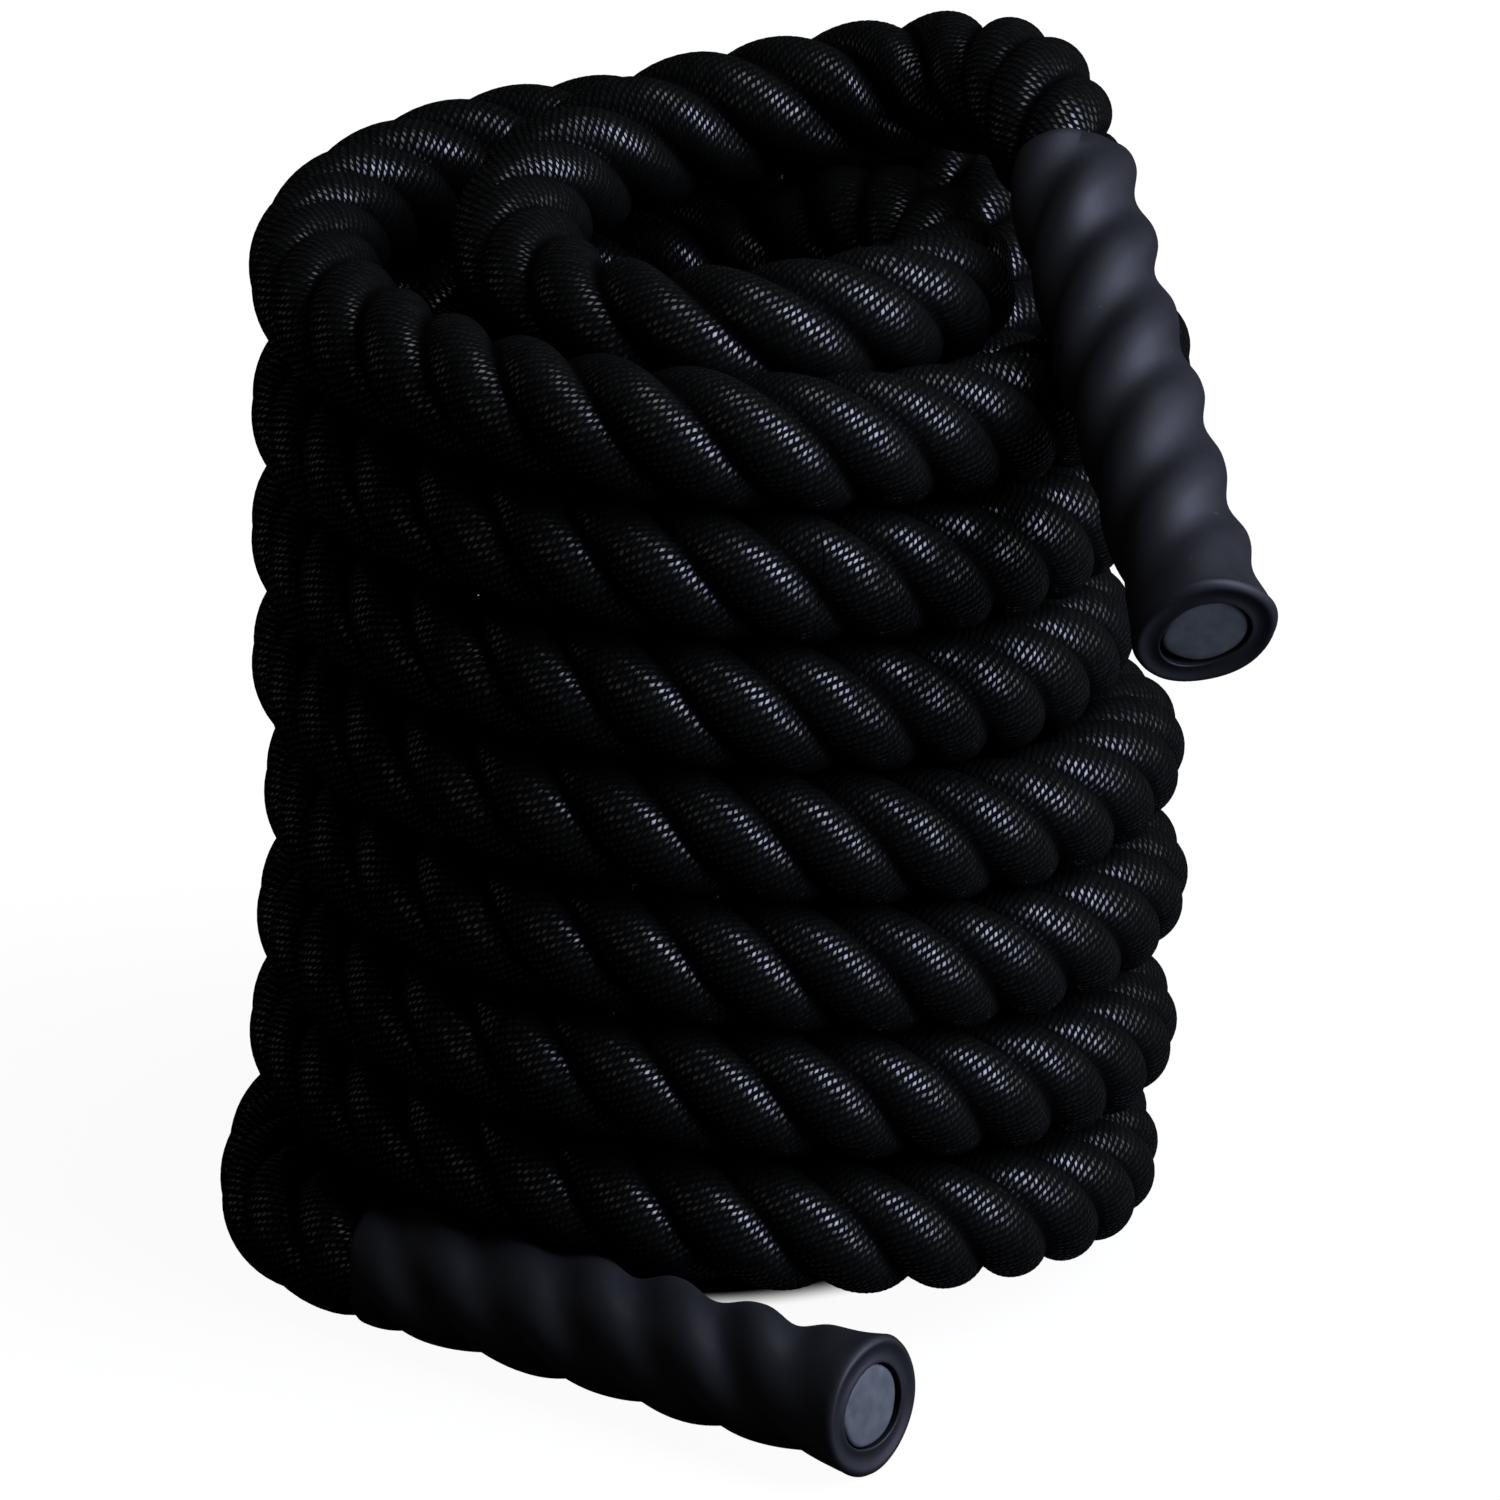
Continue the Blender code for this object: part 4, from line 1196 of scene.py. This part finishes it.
class BattleRopeColours(bpy.types.PropertyGroup):
    rope_yarn: tint("Rope yarn", "Colour of the raised yarn floats", (0.0011, 0.0012, 0.0008))
    # Rope shade is painted shade between the rope's ribs; in the tape and the inner strands it is their
    # plain darker tone
    rope_dark_tone_and_valley_shade: tint("Rope shade", "Colour between the ribs", (0.0009, 0.0010, 0.0007))
    yarn_gloss: number("Yarn gloss", "How strongly the raised floats shine", 1.0)
    sleeve: tint("Sleeve", "Colour of the rubber sleeves", (0.0052, 0.0055, 0.0060))
    sleeve_bloom: tint("Sleeve bloom", "Colour where the rubber is dulled", (0.0085, 0.0086, 0.0098))
    scuff: tint("Scuff", "Colour of small rubbed marks", (0.045, 0.045, 0.050))
    melt_dark: tint("Melt dark", "Darker colour of the sealed end", (0.026, 0.029, 0.030))
    melt_pale: tint("Melt pale", "Paler colour of the sealed end", (0.070, 0.078, 0.080))


class BattleRopeStage(bpy.types.PropertyGroup):
    elevation: FloatProperty(
        name="Camera elevation", description="Angle that the camera looks down at",
        default=math.radians(20.7), unit="ROTATION")
    distance: length("Camera distance", "Distance of the camera", 4.0)
    lens: number("Lens", "Focal length in millimetres", 249.6)
    floor: tint("Floor", "Colour of the floor", (0.035, 0.035, 0.035))
    floor_glow: number("Floor glow", "White that only the camera sees", 0.95)
    world_level: number("World level", "Light from all round", 0.03)
    key_power: number("Key power", "Main lamp, in watts", 200.0)
    low_power: number("Low power", "Lamp by the floor, in watts", 22.0)
    left_power: number("Left power", "Left lamp, in watts", 1.2)
    fill_power: number("Fill power", "Wide lamp by the camera, in watts", 5.0)
    right_power: number("Right power", "Right lamp, in watts", 5.0)
    top_power: number("Top power", "Top lamp, in watts", 16.0)


class BATTLEROPE_OT_rope(bpy.types.Operator):
    """Lay the three-strand rope along its coil and into both grips"""
    bl_idname = "battle_rope.rope"
    bl_label = "Rope"

    def execute(self, context):
        build_rope(context.scene.battle_rope_sizes, context.scene.battle_rope_colours)
        return {"FINISHED"}


class BATTLEROPE_OT_grips(bpy.types.Operator):
    """Shrink the rubber sleeves over the rope's ends"""
    bl_idname = "battle_rope.grips"
    bl_label = "Grips"

    def execute(self, context):
        grain_group()
        build_grips(context.scene.battle_rope_sizes, context.scene.battle_rope_colours)
        return {"FINISHED"}


class BATTLEROPE_OT_sealed_ends(bpy.types.Operator):
    """Close the rope's ends with a melted seal inside each lip"""
    bl_idname = "battle_rope.sealed_ends"
    bl_label = "Sealed Ends"

    def execute(self, context):
        build_sealed_ends(context.scene.battle_rope_sizes, context.scene.battle_rope_colours)
        return {"FINISHED"}


class BATTLEROPE_OT_inner_pieces(bpy.types.Operator):
    """Finish the squeezed strands and the tape inside the sleeves"""
    bl_idname = "battle_rope.inner_pieces"
    bl_label = "Inner Pieces"

    def execute(self, context):
        finish_inner_pieces(context.scene.battle_rope_colours)
        return {"FINISHED"}


class BATTLEROPE_OT_stage(bpy.types.Operator):
    """Set the floor, the lamps and the camera"""
    bl_idname = "battle_rope.stage"
    bl_label = "Stage"

    def execute(self, context):
        build_stage(context.scene.battle_rope_stage)
        return {"FINISHED"}


STEPS = (
    BATTLEROPE_OT_stage,
    BATTLEROPE_OT_rope,
    BATTLEROPE_OT_grips,
    BATTLEROPE_OT_sealed_ends,
    BATTLEROPE_OT_inner_pieces,
)


class BATTLEROPE_PT_panel(bpy.types.Panel):
    bl_idname = "BATTLEROPE_PT_panel"
    bl_label = "Battle Rope"
    bl_space_type = "VIEW_3D"
    bl_region_type = "UI"
    bl_category = "Battle Rope"

    def draw(self, context):
        for step in STEPS:
            self.layout.operator(step.bl_idname)
        for group in ("battle_rope_sizes", "battle_rope_colours", "battle_rope_stage"):
            values = getattr(context.scene, group)
            column = self.layout.column()
            for key in values.bl_rna.properties.keys():
                if key not in ("rna_type", "name"):
                    column.prop(values, key)


CLASSES = (BattleRopeSizes, BattleRopeColours, BattleRopeStage, *STEPS, BATTLEROPE_PT_panel)


def register():
    for item in CLASSES:
        bpy.utils.register_class(item)
    bpy.types.Scene.battle_rope_sizes = PointerProperty(type=BattleRopeSizes)
    bpy.types.Scene.battle_rope_colours = PointerProperty(type=BattleRopeColours)
    bpy.types.Scene.battle_rope_stage = PointerProperty(type=BattleRopeStage)


def unregister():
    for name in ("battle_rope_sizes", "battle_rope_colours", "battle_rope_stage"):
        delattr(bpy.types.Scene, name)
    for item in reversed(CLASSES):
        bpy.utils.unregister_class(item)


def main():
    register()
    for step in STEPS:
        group, name = step.bl_idname.split(".")
        getattr(getattr(bpy.ops, group), name)()


if __name__ == "__main__":
    main()
